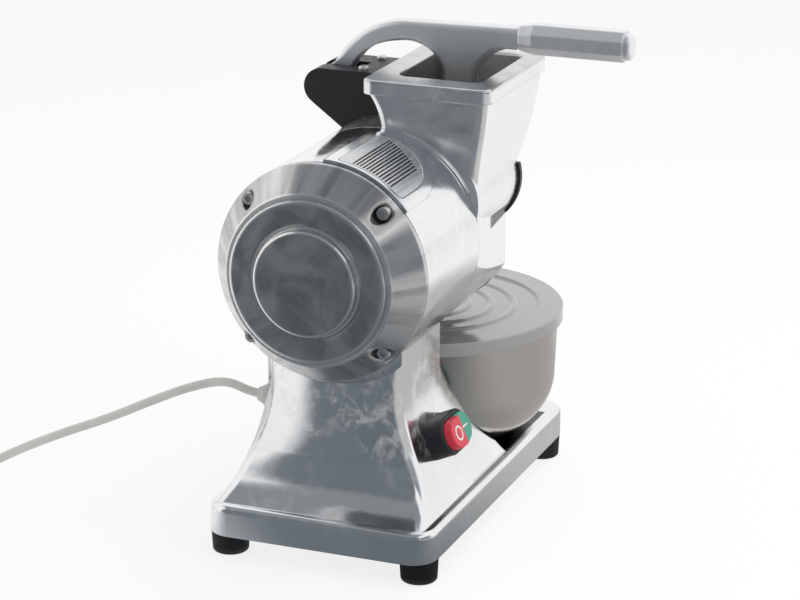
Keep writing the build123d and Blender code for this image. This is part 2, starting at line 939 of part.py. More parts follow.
with BuildPart() as head_casting:
    extrude(round_face(motor_plane(barrel_len), barrel_r), amount=head_len)
    with BuildSketch(floor_plane(axis_z - barrel_r)):
        with BuildLine():
            Polyline(
                (barrel_len, -flat_near),
                (head_end, -flat_far),
                (head_end, -barrel_r - cut_past),
                (barrel_len, -barrel_r - cut_past),
                close=True,
            )
        make_face()
    extrude(amount=barrel_r + flat_up, mode=Mode.SUBTRACT)
    extrude(round_face(roller_plane(barrel_len), roller_boss_r), amount=head_len)
    belly_top = (rim_up - rim_h + cut_past,) + hopper_top
    loft([belly_face(*row) for row in hopper_belly + (belly_top,)])
    rim_plane = head_floor(axis_z + rim_up - rim_h)
    extrude(box_face(rim_plane, rim_near, rim_far, -rim_front, rim_back, rim_corner_r), amount=rim_h)
    fillet(head_casting.faces().sort_by(Axis.Z)[-1].edges(), rim_edge_r)
    # Hopper mouth, throat and roller chamber
    loft(
        [
            throat_face(rim_up + cut_past, mouth_near, mouth_far, mouth_half),
            throat_face(throat_up, chamber_in, throat_far_up, throat_half),
            throat_face(throat_mid_up, chamber_in, throat_far_mid, throat_half),
            throat_face(roller_up, chamber_in, throat_far_low, throat_half),
        ],
        ruled=True,
        mode=Mode.SUBTRACT,
    )
    extrude(
        round_face(roller_plane(chamber_start), chamber_r),
        amount=head_end - chamber_start,
        mode=Mode.SUBTRACT,
    )
    chute_near = chamber_start + chute_end_wall
    chute_far = head_end - chute_end_wall
    extrude(
        box_face(
            floor_plane(roller_z),
            chute_near,
            chute_far,
            -roller_side - chute_half,
            chute_half - roller_side,
            mouth_corner_r,
        ),
        amount=-roller_up - barrel_r,
        mode=Mode.SUBTRACT,
    )
    # Gear bay, hollow back half and bearing seat
    extrude(
        round_face(roller_plane(barrel_len), gear_bay_r),
        amount=gear_bay,
        mode=Mode.SUBTRACT,
    )
    extrude(round_face(motor_plane(barrel_len), pinion_bay_r), amount=gear_bay, mode=Mode.SUBTRACT)
    with BuildSketch(motor_plane(barrel_len)):
        Circle(barrel_r - pocket_wall)
        with Locations((pocket_side - barrel_r, 0)):
            Rectangle(2 * barrel_r, 2 * barrel_r, mode=Mode.SUBTRACT)
        with Locations(*bolt_spots):
            Circle(bolt_boss_r, mode=Mode.SUBTRACT)
    extrude(amount=head_len - pocket_floor, mode=Mode.SUBTRACT)
    extrude(
        round_face(roller_plane(barrel_len + gear_bay), bearing_r + seat_gap),
        amount=roller_wall,
        mode=Mode.SUBTRACT,
    )
    extrude(
        round_face(motor_plane(barrel_len), m6[0] + thread_gap, bolt_spots),
        amount=bolt_bite + cut_past,
        mode=Mode.SUBTRACT,
    )
    extrude(
        round_face(roller_plane(head_end), m3[0] + thread_gap, end_screw_spots),
        amount=-small_bite - cut_past,
        mode=Mode.SUBTRACT,
    )
    for up in hinge_bolt_ups:
        extrude(
            round_face(front_plane(lever_x, slot_back, up), m6[0] + thread_gap),
            amount=hinge_bolt_bite,
            mode=Mode.SUBTRACT,
        )

head_casting.part.label = "head_casting"
export_step(head_casting.part, "parts/head_casting.step")

with BuildPart() as head_bolts:
    head_seat = barrel_len - front_wall
    extrude(round_face(motor_plane(head_seat), m6[1], bolt_spots), amount=-m6[2])
    extrude(round_face(motor_plane(head_seat), m6[0], bolt_spots), amount=front_wall + bolt_bite)

head_bolts.part.label = "head_bolts"
export_step(head_bolts.part, "parts/head_bolts.step")

# Grating roller
drum_start = chamber_start + drum_gap
drum_len = head_end - drum_end_gap - drum_start
outer_seat = head_end - bearing_w
end_face = head_end + end_disc_t
with BuildPart() as roller_shaft:
    extrude(
        round_face(roller_plane(gear_start), roller_shaft_r),
        amount=head_end - loose_gap - gear_start,
    )

roller_shaft.part.label = "roller_shaft"
export_step(roller_shaft.part, "parts/roller_shaft.step")

with BuildPart() as roller_hubs:
    for start in (drum_start, outer_seat - hub_gap - hub_t):
        extrude(
            ring_face(roller_plane(start), drum_r - drum_t - seat_gap, roller_shaft_r + seat_gap),
            amount=hub_t,
        )

roller_hubs.part.label = "roller_hubs"
export_step(roller_hubs.part, "parts/roller_hubs.step")

with BuildPart() as grating_drum:
    extrude(ring_face(roller_plane(drum_start), drum_r, drum_r - drum_t), amount=drum_len)
    row_pitch = drum_len / tooth_rows
    for row in range(tooth_rows):
        shift = 180 / teeth_round * (row % 2)
        with Locations(roller_plane(drum_start + row_pitch * (row + 0.5))):
            with PolarLocations(drum_r - drum_t / 2, teeth_round, start_angle=shift):
                Cone(
                    tooth_r,
                    tooth_tip_r,
                    tooth_h + drum_t / 2,
                    rotation=(0, 90, 0),
                    align=(Align.CENTER, Align.CENTER, Align.MIN),
                )

grating_drum.part.label = "grating_drum"
export_step(grating_drum.part, "parts/grating_drum.step")

with BuildPart() as roller_bearings:
    for start in (barrel_len + gear_bay, outer_seat):
        extrude(ring_face(roller_plane(start), bearing_r, roller_shaft_r + run_gap), amount=bearing_w)
        groove = ring_face(roller_plane(start), bearing_r - bearing_lip, roller_shaft_r + bearing_lip)
        extrude(groove, amount=bearing_groove, mode=Mode.SUBTRACT)

roller_bearings.part.label = "roller_bearings"
export_step(roller_bearings.part, "parts/roller_bearings.step")

with BuildPart() as end_cover:
    extrude(round_face(roller_plane(head_end), end_disc_r), amount=end_disc_t)
    with BuildSketch(roller_plane(head_end)):
        with Locations((0, end_chord)):
            Rectangle(2 * end_disc_r, 2 * end_disc_r, align=(Align.CENTER, Align.MIN))
    extrude(amount=end_disc_t, mode=Mode.SUBTRACT)
    # Bearing boss, inside the end of the drum
    extrude(
        ring_face(roller_plane(head_end), bearing_r + end_boss_wall, bearing_r + seat_gap),
        amount=-bearing_w,
    )
    extrude(
        round_face(roller_plane(head_end), m3[0] + thread_gap, end_screw_spots),
        amount=end_disc_t,
        mode=Mode.SUBTRACT,
    )

end_cover.part.label = "end_cover"
export_step(end_cover.part, "parts/end_cover.step")

with BuildPart() as end_cover_screws:
    extrude(round_face(roller_plane(end_face), m3[1], end_screw_spots), amount=m3[2])
    fillet(end_cover_screws.edges().group_by(Axis.X)[-1], edge_round)
    extrude(round_face(roller_plane(end_face), m3[0], end_screw_spots), amount=-end_disc_t - small_bite)

end_cover_screws.part.label = "end_cover_screws"
export_step(end_cover_screws.part, "parts/end_cover_screws.step")

# Lever: arched arm, stem and presser plate in one casting
lever_start = lever_x - lever_t / 2
arch_up = lever_top - lever_web_h
stem_front = -roller_side - stem_w / 2
stem_back = stem_w / 2 - roller_side
presser_top = presser_up + presser_t
magnet_spot = (pivot_y - magnet_in, pivot_up + magnet_up)
arch_top = (arch_y, lever_top - lever_top_drop)
arch_low = (arch_y, arch_up - lever_web_drop)
arm_out = (arm_foot_out, arm_foot_up)
arm_in = (arm_foot_in, arm_foot_up)
web_end = (lever_web_flat - lever_end, arch_up)
eye_in, eye_out = [(pivot_y + y, pivot_up + z) for y, z in polar(eye_r, (eye_in_angle, eye_out_angle))]


def is_hand_side(edge):
    middle = edge @ 0.5
    inner_bow = middle.Y > motor_y + arch_y and middle.Z < axis_z + arch_up
    return edge.length > 2 * lever_web_h and middle.Z > axis_z + arm_foot_up and not inner_bow


with BuildPart() as lever_casting:
    with BuildSketch(motor_plane(lever_start)):
        with BuildLine():
            SagittaArc(arm_out, arch_top, -arm_out_bow)
            Polyline(arch_top, (-lever_end, lever_top), (-lever_end, arch_up), web_end)
            SagittaArc(web_end, (stem_front, stem_arch_up), stem_front_bow)
            Polyline(
                (stem_front, stem_arch_up),
                (stem_front, presser_top),
                (stem_back, presser_top),
                (stem_back, stem_arch_up),
            )
            SagittaArc((stem_back, stem_arch_up), arch_low, stem_back_bow)
            SagittaArc(arch_low, arm_in, arm_in_bow)
            Polyline(arm_in, eye_in, eye_out, arm_out)
        make_face()
        with Locations((pivot_y, pivot_up)):
            Circle(eye_r)
    extrude(amount=lever_t)
    side_edges = lever_casting.edges().group_by(Axis.X)
    fillet((side_edges[0] + side_edges[-1]).filter_by(is_hand_side), lever_edge_r)
    extrude(
        box_face(
            floor_plane(axis_z + presser_up),
            lever_x - presser_ahead,
            lever_x + presser_behind,
            -roller_side - presser_half,
            presser_half - roller_side,
            mouth_corner_r,
        ),
        amount=presser_t,
    )
    extrude(
        box_face(
            floor_plane(axis_z + presser_top),
            lever_x - presser_hub_w / 2,
            lever_x + presser_hub_w / 2,
            stem_front,
            stem_back,
            edge_round,
        ),
        amount=presser_hub_t,
    )
    extrude(
        round_face(front_plane(lever_x, -lever_end, grip_up), stud_r),
        amount=grip_end - lever_end - cap_len,
    )
    extrude(
        round_face(motor_plane(lever_start), pivot_r + run_gap, ((pivot_y, pivot_up),)),
        amount=lever_t,
        mode=Mode.SUBTRACT,
    )
    extrude(
        round_face(motor_plane(lever_start), magnet_r + seat_gap, (magnet_spot,)),
        amount=magnet_t + seat_gap,
        mode=Mode.SUBTRACT,
    )

lever_casting.part.label = "lever_casting"
export_step(lever_casting.part, "parts/lever_casting.step")

with BuildPart() as lever_magnet:
    extrude(round_face(motor_plane(lever_start), magnet_r, (magnet_spot,)), amount=magnet_t)

lever_magnet.part.label = "lever_magnet"
export_step(lever_magnet.part, "parts/lever_magnet.step")


def grip_face(dy, across):
    with BuildSketch(front_plane(lever_x, -dy, grip_up)) as face:
        RegularPolygon(across / 2, 8, major_radius=False, rotation=22.5)
    return face.sketch


with BuildPart() as lever_grip:
    loft([grip_face(lever_end + loose_gap, grip_neck), grip_face(grip_start, grip_shoulder)], ruled=True)
    loft([grip_face(grip_start, grip_shoulder), grip_face(grip_start + grip_taper, grip_flat)], ruled=True)
    extrude(grip_face(grip_start + grip_taper, grip_flat), amount=grip_len - grip_taper)
    extrude(
        round_face(front_plane(lever_x, -lever_end, grip_up), stud_r + seat_gap),
        amount=grip_len + grip_start,
        mode=Mode.SUBTRACT,
    )

lever_grip.part.label = "lever_grip"
export_step(lever_grip.part, "parts/lever_grip.step")

with BuildPart() as grip_cap:
    extrude(round_face(front_plane(lever_x, -grip_end, grip_up), grip_flat / 2 - cap_inset), amount=cap_len)
    fillet(grip_cap.edges().group_by(Axis.Y)[0], cap_round)
    extrude(
        round_face(front_plane(lever_x, -grip_end, grip_up), stud_r - seat_gap),
        amount=loose_gap - cap_len,
    )

grip_cap.part.label = "grip_cap"
export_step(grip_cap.part, "parts/grip_cap.step")

# Hinge housing with a slot for the lever's foot
slope = radians(housing_slope)
toe_y = pivot_y + housing_round * sin(slope)
toe_up = pivot_up - housing_round * cos(slope)
lever_slot = lever_t / 2 + slot_side
with BuildPart() as hinge_housing:
    with BuildSketch(motor_plane(housing_near)):
        with BuildLine():
            Polyline(
                (toe_y, toe_up),
                (housing_root, toe_up - (toe_y - housing_root) * tan(slope)),
                (housing_root, rim_up - rim_h - loose_gap),
                (housing_step, rim_up - rim_h - loose_gap),
                (housing_step, housing_up),
                (pivot_y, housing_up),
            )
            ThreePointArc((pivot_y, housing_up), (pivot_y + housing_round, pivot_up), (toe_y, toe_up))
        make_face()
    extrude(amount=housing_far - housing_near)
    extrude(round_face(motor_plane(barrel_len), barrel_r), amount=housing_far, mode=Mode.SUBTRACT)
    add(head_casting.part, mode=Mode.SUBTRACT)
    with BuildSketch(motor_plane(lever_x - lever_slot)):
        with Locations((slot_back, slot_floor_up)):
            Rectangle(pivot_y, pivot_y, align=(Align.MIN, Align.MIN))
    extrude(amount=2 * lever_slot, mode=Mode.SUBTRACT)
    extrude(
        round_face(motor_plane(housing_near + pin_blind), pivot_r + seat_gap, ((pivot_y, pivot_up),)),
        amount=housing_far,
        mode=Mode.SUBTRACT,
    )
    extrude(
        round_face(motor_plane(lever_x - lever_slot), reed_r + seat_gap, (magnet_spot,)),
        amount=-reed_len,
        mode=Mode.SUBTRACT,
    )
    for up in hinge_bolt_ups:
        extrude(
            round_face(front_plane(lever_x, slot_back, up), m6[0] + thread_gap),
            amount=hinge_bolt_bite,
            mode=Mode.SUBTRACT,
        )
    hinge_screw_xs = (housing_near + hinge_screw_inset, housing_far - hinge_screw_inset)
    hinge_screw_spots = [(x, hinge_screw_y) for x in hinge_screw_xs]
    extrude(
        round_face(floor_plane(axis_z + housing_up), m4[0] + thread_gap, hinge_screw_spots),
        amount=-small_bite - cut_past,
        mode=Mode.SUBTRACT,
    )

hinge_housing.part.label = "hinge_housing"
export_step(hinge_housing.part, "parts/hinge_housing.step")

with BuildPart() as hinge_screws:
    extrude(round_face(floor_plane(axis_z + housing_up), m4[1], hinge_screw_spots), amount=m4[2])
    fillet(hinge_screws.edges().group_by(Axis.Z)[-1], edge_round)
    extrude(round_face(floor_plane(axis_z + housing_up), m4[0], hinge_screw_spots), amount=-small_bite)

hinge_screws.part.label = "hinge_screws"
export_step(hinge_screws.part, "parts/hinge_screws.step")

with BuildPart() as hinge_bolts:
    for up in hinge_bolt_ups:
        extrude(round_face(front_plane(lever_x, slot_back, up), m6[1]), amount=-m6[2])
        extrude(round_face(front_plane(lever_x, slot_back, up), m6[0]), amount=hinge_bolt_bite)

hinge_bolts.part.label = "hinge_bolts"
export_step(hinge_bolts.part, "parts/hinge_bolts.step")

with BuildPart() as pivot_pin:
    extrude(
        round_face(motor_plane(housing_near + pin_blind), pivot_r, ((pivot_y, pivot_up),)),
        amount=housing_far - housing_near - pin_blind - loose_gap,
    )

pivot_pin.part.label = "pivot_pin"
export_step(pivot_pin.part, "parts/pivot_pin.step")

with BuildPart() as reed_switch:
    extrude(round_face(motor_plane(lever_x - lever_slot), reed_r, (magnet_spot,)), amount=-reed_len)

reed_switch.part.label = "reed_switch"
export_step(reed_switch.part, "parts/reed_switch.step")

# Push-button box on the pedestal's side
switch_axis = Axis(switch_plane(0).origin, switch_plane(0).z_dir)
with BuildPart() as switch_housing:
    extrude(slot_face(switch_plane(-switch_root), switch_len, switch_w), amount=switch_root + switch_stand)
    fillet(switch_housing.edges().group_by(switch_axis)[-1], switch_round)
    add(body_casting.part, mode=Mode.SUBTRACT)
    extrude(round_face(switch_plane(-neck_reach), neck_r), amount=neck_reach + switch_floor)
    extrude(
        round_face(switch_plane(-neck_reach), neck_r - neck_wall),
        amount=neck_reach + switch_floor,
        mode=Mode.SUBTRACT,
    )
    extrude(
        slot_face(switch_plane(switch_floor), switch_len, switch_w, switch_wall),
        amount=switch_stand - switch_front_t - switch_floor,
        mode=Mode.SUBTRACT,
    )
    extrude(
        slot_face(switch_plane(switch_floor), switch_len, switch_w, switch_wall + switch_lip),
        amount=switch_stand - switch_floor,
        mode=Mode.SUBTRACT,
    )

switch_housing.part.label = "switch_housing"
export_step(switch_housing.part, "parts/switch_housing.step")

flange_out = switch_stand - switch_front_t - button_gap - button_flange_t


def half_slot(shrink, side):
    with BuildSketch(switch_plane(flange_out)) as face:
        SlotOverall(switch_len - 2 * shrink, switch_w - 2 * shrink)
        with Locations((side * (switch_len + button_parting) / 2, 0)):
            Rectangle(switch_len, switch_w, mode=Mode.INTERSECT)
    return face.sketch


with BuildPart() as stop_button:
    extrude(half_slot(switch_wall + switch_lip + button_gap, -1), amount=switch_stand + stop_stand - flange_out)
    fillet(stop_button.edges().group_by(switch_axis)[-1], button_round)
    extrude(half_slot(switch_wall + button_gap, -1), amount=button_flange_t)

stop_button.part.label = "stop_button"
export_step(stop_button.part, "parts/stop_button.step")

with BuildPart() as start_button:
    extrude(half_slot(switch_wall + switch_lip + button_gap, 1), amount=switch_stand + start_stand - flange_out)
    fillet(start_button.edges().group_by(switch_axis)[-1], button_round)
    extrude(half_slot(switch_wall + button_gap, 1), amount=button_flange_t)

start_button.part.label = "start_button"
export_step(start_button.part, "parts/start_button.step")

with BuildPart() as contact_block:
    block_plane = switch_plane(switch_floor)
    block_t = flange_out - button_travel - button_gap - switch_floor
    extrude(
        box_face(block_plane, -block_len / 2, block_len / 2, -block_w / 2, block_w / 2, edge_round),
        amount=block_t,
    )

contact_block.part.label = "contact_block"
export_step(contact_block.part, "parts/contact_block.step")

with BuildPart() as switch_nut:
    extrude(hex_face(switch_plane(-column_wall), nut_flat), amount=-nut_t)
    extrude(round_face(switch_plane(-column_wall), neck_r + seat_gap), amount=-nut_t, mode=Mode.SUBTRACT)

switch_nut.part.label = "switch_nut"
export_step(switch_nut.part, "parts/switch_nut.step")

# Cable gland and its nut
gland_tip = gland_boss_y + gland_flange_t + gland_dome_t
with BuildPart() as cable_gland:
    extrude(hex_face(gland_plane(gland_boss_y), gland_flat), amount=-gland_flange_t)
    loft(
        [
            round_face(gland_plane(gland_boss_y + gland_flange_t), gland_flat / 2 - edge_round / 2),
            round_face(gland_plane(gland_tip), gland_dome_r),
        ]
    )
    extrude(round_face(gland_plane(gland_boss_y), gland_thread_r), amount=gland_boss_y - gland_reach)
    extrude(
        round_face(gland_plane(gland_tip), cord_r + thread_gap),
        amount=gland_tip - gland_reach,
        mode=Mode.SUBTRACT,
    )

cable_gland.part.label = "cable_gland"
export_step(cable_gland.part, "parts/cable_gland.step")

gland_nut_seat = column_half(axis_z + gland_up + gland_nut_flat / 2) - column_wall
with BuildPart() as gland_nut:
    extrude(hex_face(gland_plane(gland_nut_seat), gland_nut_flat), amount=gland_nut_t)
    extrude(
        round_face(gland_plane(gland_nut_seat), gland_thread_r + seat_gap),
        amount=gland_nut_t,
        mode=Mode.SUBTRACT,
    )

gland_nut.part.label = "gland_nut"
export_step(gland_nut.part, "parts/gland_nut.step")

# Supply parts on the bottom plate
with BuildPart() as run_capacitor:
    spot = (supply_x, capacitor_y)
    extrude(round_face(floor_plane(foot_h + plate_t), capacitor_r, (spot,)), amount=capacitor_h)
    fillet(run_capacitor.edges().group_by(Axis.Z)[-1], edge_round)

run_capacitor.part.label = "run_capacitor"
export_step(run_capacitor.part, "parts/run_capacitor.step")

with BuildPart() as terminal_block:
    terminal_plane = floor_plane(foot_h + plate_t)
    extrude(
        box_face(
            terminal_plane,
            supply_x - terminal_l / 2,
            supply_x + terminal_l / 2,
            block_y - terminal_w / 2,
            block_y + terminal_w / 2,
        ),
        amount=terminal_h,
    )

terminal_block.part.label = "terminal_block"
export_step(terminal_block.part, "parts/terminal_block.step")

# Bowl and lid
with BuildPart() as bowl:
    with BuildSketch(bowl_side):
        with BuildLine():
            floor_r = bowl_low_r - bowl_corner_r
            turn_z = deck_z + bowl_corner_r
            inner_corner = bowl_corner_r - bowl_wall
            Polyline((floor_r, deck_z), (0, deck_z), (0, deck_z + bowl_wall), (floor_r, deck_z + bowl_wall))
            RadiusArc((floor_r, deck_z + bowl_wall), (floor_r + inner_corner, turn_z), -inner_corner)
            Polyline(
                (floor_r + inner_corner, turn_z),
                (bowl_top_r - bowl_wall, rim_z),
                (bead_r, rim_z),
                (bead_r, rim_z - bead_h),
                (bowl_top_r, rim_z - bead_h),
                (bowl_low_r, turn_z),
            )
            RadiusArc((bowl_low_r, turn_z), (floor_r, deck_z), bowl_corner_r)
        make_face()
    revolve(axis=bowl_axis)

bowl.part.label = "bowl"
export_step(bowl.part, "parts/bowl.step")

lid_dish_r = lid_r - lid_dish_in
with BuildPart() as bowl_lid:
    with BuildSketch(bowl_side):
        with BuildLine():
            Polyline(
                (0, rim_z - lid_dish_depth),
                (0, lid_top - lid_dish_depth),
                (lid_dish_r, lid_top - lid_dish_depth),
                (lid_dish_r + lid_dish_depth, lid_top),
                (lid_r - lid_edge, lid_top),
                (lid_r, lid_top - lid_edge),
                (lid_r, lid_top - lid_h),
                (lid_r - lid_wall, lid_top - lid_h),
                (lid_r - lid_wall, rim_z),
                (lid_dish_r + 2 * lid_dish_depth, rim_z),
                (lid_dish_r + lid_dish_depth, rim_z - lid_dish_depth),
                close=True,
            )
        make_face()
    revolve(axis=bowl_axis)
    # Moulded ridges in the dish
    dish_z = lid_top - lid_dish_depth
    with BuildSketch(bowl_side):
        for i in range(1, lid_ridges + 1):
            ridge_r = lid_dish_r - i * lid_ridge_pitch
            with BuildLine():
                foot = Line((ridge_r - lid_ridge_w / 2, dish_z), (ridge_r + lid_ridge_w / 2, dish_z))
                SagittaArc(foot @ 0, foot @ 1, lid_ridge_h)
            make_face()
    revolve(axis=bowl_axis)

bowl_lid.part.label = "bowl_lid"
export_step(bowl_lid.part, "parts/bowl_lid.step")

# Wound cord: two layers of turns, spiralling in below and out above
coil_centre = Vector(flange_x + coil_x, motor_y + coil_y, 0)
coil_low_z = cord_r + tie_t + tie_gap
coil_high_z = coil_low_z + coil_layer
coil_sweep = 2 * pi * coil_turns
coil_mid = coil_sweep / 2
coil_in_r = coil_out_r - coil_step * coil_turns / 2


def coil_point(turn):
    radius = coil_in_r + coil_step * abs(turn - coil_mid) / (2 * pi)
    rise = min(1.0, max(0.0, 0.5 + (turn - coil_mid) / pi))
    angle = radians(coil_start_angle) - turn
    height = coil_low_z + coil_layer * rise
    return coil_centre + Vector(radius * cos(angle), radius * sin(angle), height)


def coil_heading(turn):
    radius = coil_in_r + coil_step * abs(turn - coil_mid) / (2 * pi)
    angle = radians(coil_start_angle) - turn
    at_middle = abs(turn - coil_mid) < 0.01
    drift = 0 if at_middle else coil_step / (2 * pi) * (1 if turn > coil_mid else -1)
    climb = 1.5 * coil_layer / pi if at_middle else 0
    around = Vector(sin(angle), -cos(angle), 0) * radius
    outward = Vector(cos(angle), sin(angle), 0) * drift
    return (around + outward + Vector(0, 0, climb)).normalized()


half_turns = int((coil_mid - pi / 2) // pi)
turns_before = [coil_mid - pi / 2 - k * pi for k in range(half_turns, -1, -1)]
turns_after = [coil_sweep - turn for turn in reversed(turns_before)]
coil_nodes = [0.0] + turns_before + [coil_mid] + turns_after + [coil_sweep]
coil_lead = coil_point(0) - coil_heading(0) * cord_d
coil_tail = coil_point(coil_sweep) + coil_heading(coil_sweep) * cord_d


def biarc_middle(start, out_dir, end, in_dir):
    chord = end - start
    both = out_dir + in_dir
    spread = 2 * (1 - out_dir.dot(in_dir))
    lean = chord.dot(both)
    reach = (sqrt(lean**2 + spread * chord.dot(chord)) - lean) / spread
    return (start + out_dir * reach + end - in_dir * reach) * 0.5


with BuildPart() as cord_coil:
    with BuildLine() as coil_path:
        Line(coil_lead, coil_point(0))
        for first, second in zip(coil_nodes[:-1], coil_nodes[1:]):
            start = coil_point(first)
            end = coil_point(second)
            middle = biarc_middle(start, coil_heading(first), end, coil_heading(second))
            opening = TangentArc(start, middle, tangent=coil_heading(first))
            TangentArc(middle, end, tangent=opening % 1)
        Line(coil_point(coil_sweep), coil_tail)
    with BuildSketch(Plane(coil_lead, z_dir=coil_heading(0))):
        Circle(cord_r)
    sweep(path=coil_path.line)

cord_coil.part.label = "cord_coil"
export_step(cord_coil.part, "parts/cord_coil.step")

coil_wire = coil_path.wire()
sample_count = 480
samples = [coil_wire @ (i / sample_count) for i in range(sample_count + 1)]
apart = int(sample_count * 4 * cord_d / coil_wire.length)
least_gap = min(
    (samples[i] - samples[j]).length for i in range(sample_count + 1) for j in range(i + apart, sample_count + 1)
)
print(f"coil: length {coil_wire.length:.0f}, least gap to itself {least_gap - cord_d:.2f}")
print(f"coil: volume over section x length {cord_coil.part.volume / (pi * cord_r**2 * coil_wire.length):.4f}")

# Free cord from the gland to the coil
cord_points = [
    Vector(flange_x + gland_x, motor_y + gland_tip - cord_seat, axis_z + gland_up),
    Vector(flange_x + gland_x, motor_y + gland_tip + gland_run, axis_z + gland_up),
    Vector(flange_x + 42, motor_y + 92, 106.7),
    Vector(flange_x + 43.5, motor_y + 118, 98.7),
    Vector(flange_x + 40, motor_y + 148, 85.2),
    Vector(flange_x + 31.5, motor_y + 180, 69.7),
    Vector(flange_x + 17, motor_y + 214, 57.7),
    Vector(flange_x + 1, motor_y + 248, 42.7),
    Vector(flange_x - 18, motor_y + 282, 23.2),
    coil_lead - coil_heading(0) * coil_run,
    coil_lead,
]
cord_radii = []
for before, corner, after in zip(cord_points[:-2], cord_points[1:-1], cord_points[2:]):
    into = corner - before
    out = after - corner
    half_turn = radians(into.get_angle(out)) / 2
    cord_radii.append(0.45 * min(into.length, out.length) / tan(half_turn))
print("cord: bend radii", [round(radius) for radius in cord_radii])

with BuildPart() as mains_cord:
    with BuildLine() as cord_path:
        FilletPolyline(*cord_points, radius=cord_radii)
    with BuildSketch(Plane(cord_path.line @ 0, z_dir=cord_path.line % 0)):
        Circle(cord_r)
    sweep(path=cord_path.line)

mains_cord.part.label = "mains_cord"
export_step(mains_cord.part, "parts/mains_cord.step")
cord_length = cord_path.wire().length
cord_fill = mains_cord.part.volume / (pi * cord_r**2 * cord_length)
print(f"cord: length {cord_length:.0f}, volume over section x length {cord_fill:.4f}")

# Tie round the wound turns
tie_rad = radians(tie_angle)
tie_out = Vector(cos(tie_rad), sin(tie_rad), 0)
tie_plane = Plane(coil_centre, x_dir=tie_out, z_dir=tie_out.cross(Vector(0, 0, 1)))
tie_first = radians(coil_start_angle - tie_angle)
tie_turns = [tie_first + 2 * pi * k for k in range(8) if tie_first + 2 * pi * k < coil_sweep]
tie_spots = [coil_point(turn) - coil_centre for turn in tie_turns]
tie_radii = [spot.X * tie_out.X + spot.Y * tie_out.Y for spot in tie_spots]
tie_slack = tie_gap + tie_w**2 / (8 * min(tie_radii))
tie_near = min(tie_radii) - cord_r - tie_slack
tie_far = max(tie_radii) + cord_r + tie_gap
tie_low = coil_low_z - cord_r - tie_gap
tie_high = coil_high_z + cord_r + tie_gap
with BuildPart() as cord_tie:
    extrude(
        box_face(tie_plane, tie_near - tie_t, tie_far + tie_t, tie_low - tie_t, tie_high + tie_t, 2 * tie_t),
        amount=tie_w / 2,
        both=True,
    )
    extrude(
        box_face(tie_plane, tie_near, tie_far, tie_low, tie_high, tie_t),
        amount=tie_w,
        both=True,
        mode=Mode.SUBTRACT,
    )

cord_tie.part.label = "cord_tie"
export_step(cord_tie.part, "parts/cord_tie.step")

# Mains plug at the end of the cord, lying on the floor
plug_half_h = coil_high_z
plug_dir = coil_heading(coil_sweep)
plug_side = Vector(-plug_dir.Y, plug_dir.X, 0)


def plug_plane(along):
    return Plane(coil_tail + plug_dir * along, x_dir=plug_side, z_dir=plug_dir)


def plug_face(along, half_w, half_h):
    return box_face(plug_plane(along), -half_w, half_w, -half_h, half_h, 0.8 * half_h)


with BuildPart() as plug_body:
    loft([round_face(plug_plane(0), sleeve_r), round_face(plug_plane(sleeve_len), plug_neck_r)])
    loft(
        [
            plug_face(sleeve_len, plug_neck_r, plug_neck_r),
            plug_face(sleeve_len + plug_shoulder, plug_half_w, plug_half_h),
        ],
        ruled=True,
    )
    extrude(plug_face(sleeve_len + plug_shoulder, plug_half_w, plug_half_h), amount=plug_len - plug_shoulder)

plug_body.part.label = "plug_body"
export_step(plug_body.part, "parts/plug_body.step")

with BuildPart() as plug_pins:
    pin_spots = ((-pin_pitch / 2, 0), (pin_pitch / 2, 0))
    extrude(round_face(plug_plane(sleeve_len + plug_len), pin_r, pin_spots), amount=pin_len)
    fillet(plug_pins.edges().filter_by(GeomType.CIRCLE).group_by(Axis.X)[-1], edge_round)

plug_pins.part.label = "plug_pins"
export_step(plug_pins.part, "parts/plug_pins.step")
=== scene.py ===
import json
import math

import bpy
from bpy.props import FloatProperty, FloatVectorProperty, IntProperty, PointerProperty
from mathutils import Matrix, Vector


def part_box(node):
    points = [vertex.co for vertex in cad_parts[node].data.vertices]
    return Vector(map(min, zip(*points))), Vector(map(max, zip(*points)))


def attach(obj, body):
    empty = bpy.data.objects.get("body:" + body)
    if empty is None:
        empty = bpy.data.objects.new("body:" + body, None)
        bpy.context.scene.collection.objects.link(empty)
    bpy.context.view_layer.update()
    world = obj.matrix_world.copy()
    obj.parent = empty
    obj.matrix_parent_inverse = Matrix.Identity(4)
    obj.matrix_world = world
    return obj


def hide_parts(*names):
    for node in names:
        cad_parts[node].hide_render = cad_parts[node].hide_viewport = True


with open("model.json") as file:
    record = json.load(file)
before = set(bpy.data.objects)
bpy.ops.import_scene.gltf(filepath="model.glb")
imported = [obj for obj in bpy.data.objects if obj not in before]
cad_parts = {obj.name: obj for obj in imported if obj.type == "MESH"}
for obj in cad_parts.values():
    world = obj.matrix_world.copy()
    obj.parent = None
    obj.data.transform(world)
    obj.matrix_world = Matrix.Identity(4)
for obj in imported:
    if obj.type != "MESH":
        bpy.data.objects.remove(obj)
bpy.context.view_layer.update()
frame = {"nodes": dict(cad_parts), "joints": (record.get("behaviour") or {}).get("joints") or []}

bl_info = {
    "name": "Electric grater",
    "version": (1, 0, 0),
    "blender": (4, 5, 0),
    "location": "View3D > Sidebar > Grater",
    "description": "Finishes, cord and small pieces of an electric grater",
    "category": "Add Mesh",
}

MM = 0.001

# Places taken from the frame: the motor axis at the cover's flange, the bowl, the gland, the head
JOINTS = {joint["name"]: joint for joint in frame["joints"]}
MOTOR = Vector(JOINTS["rotor_spin"]["pos_m"])
BOWL = Vector(JOINTS["lid_turn"]["pos_m"])
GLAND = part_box("cable_gland")
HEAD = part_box("head_casting")

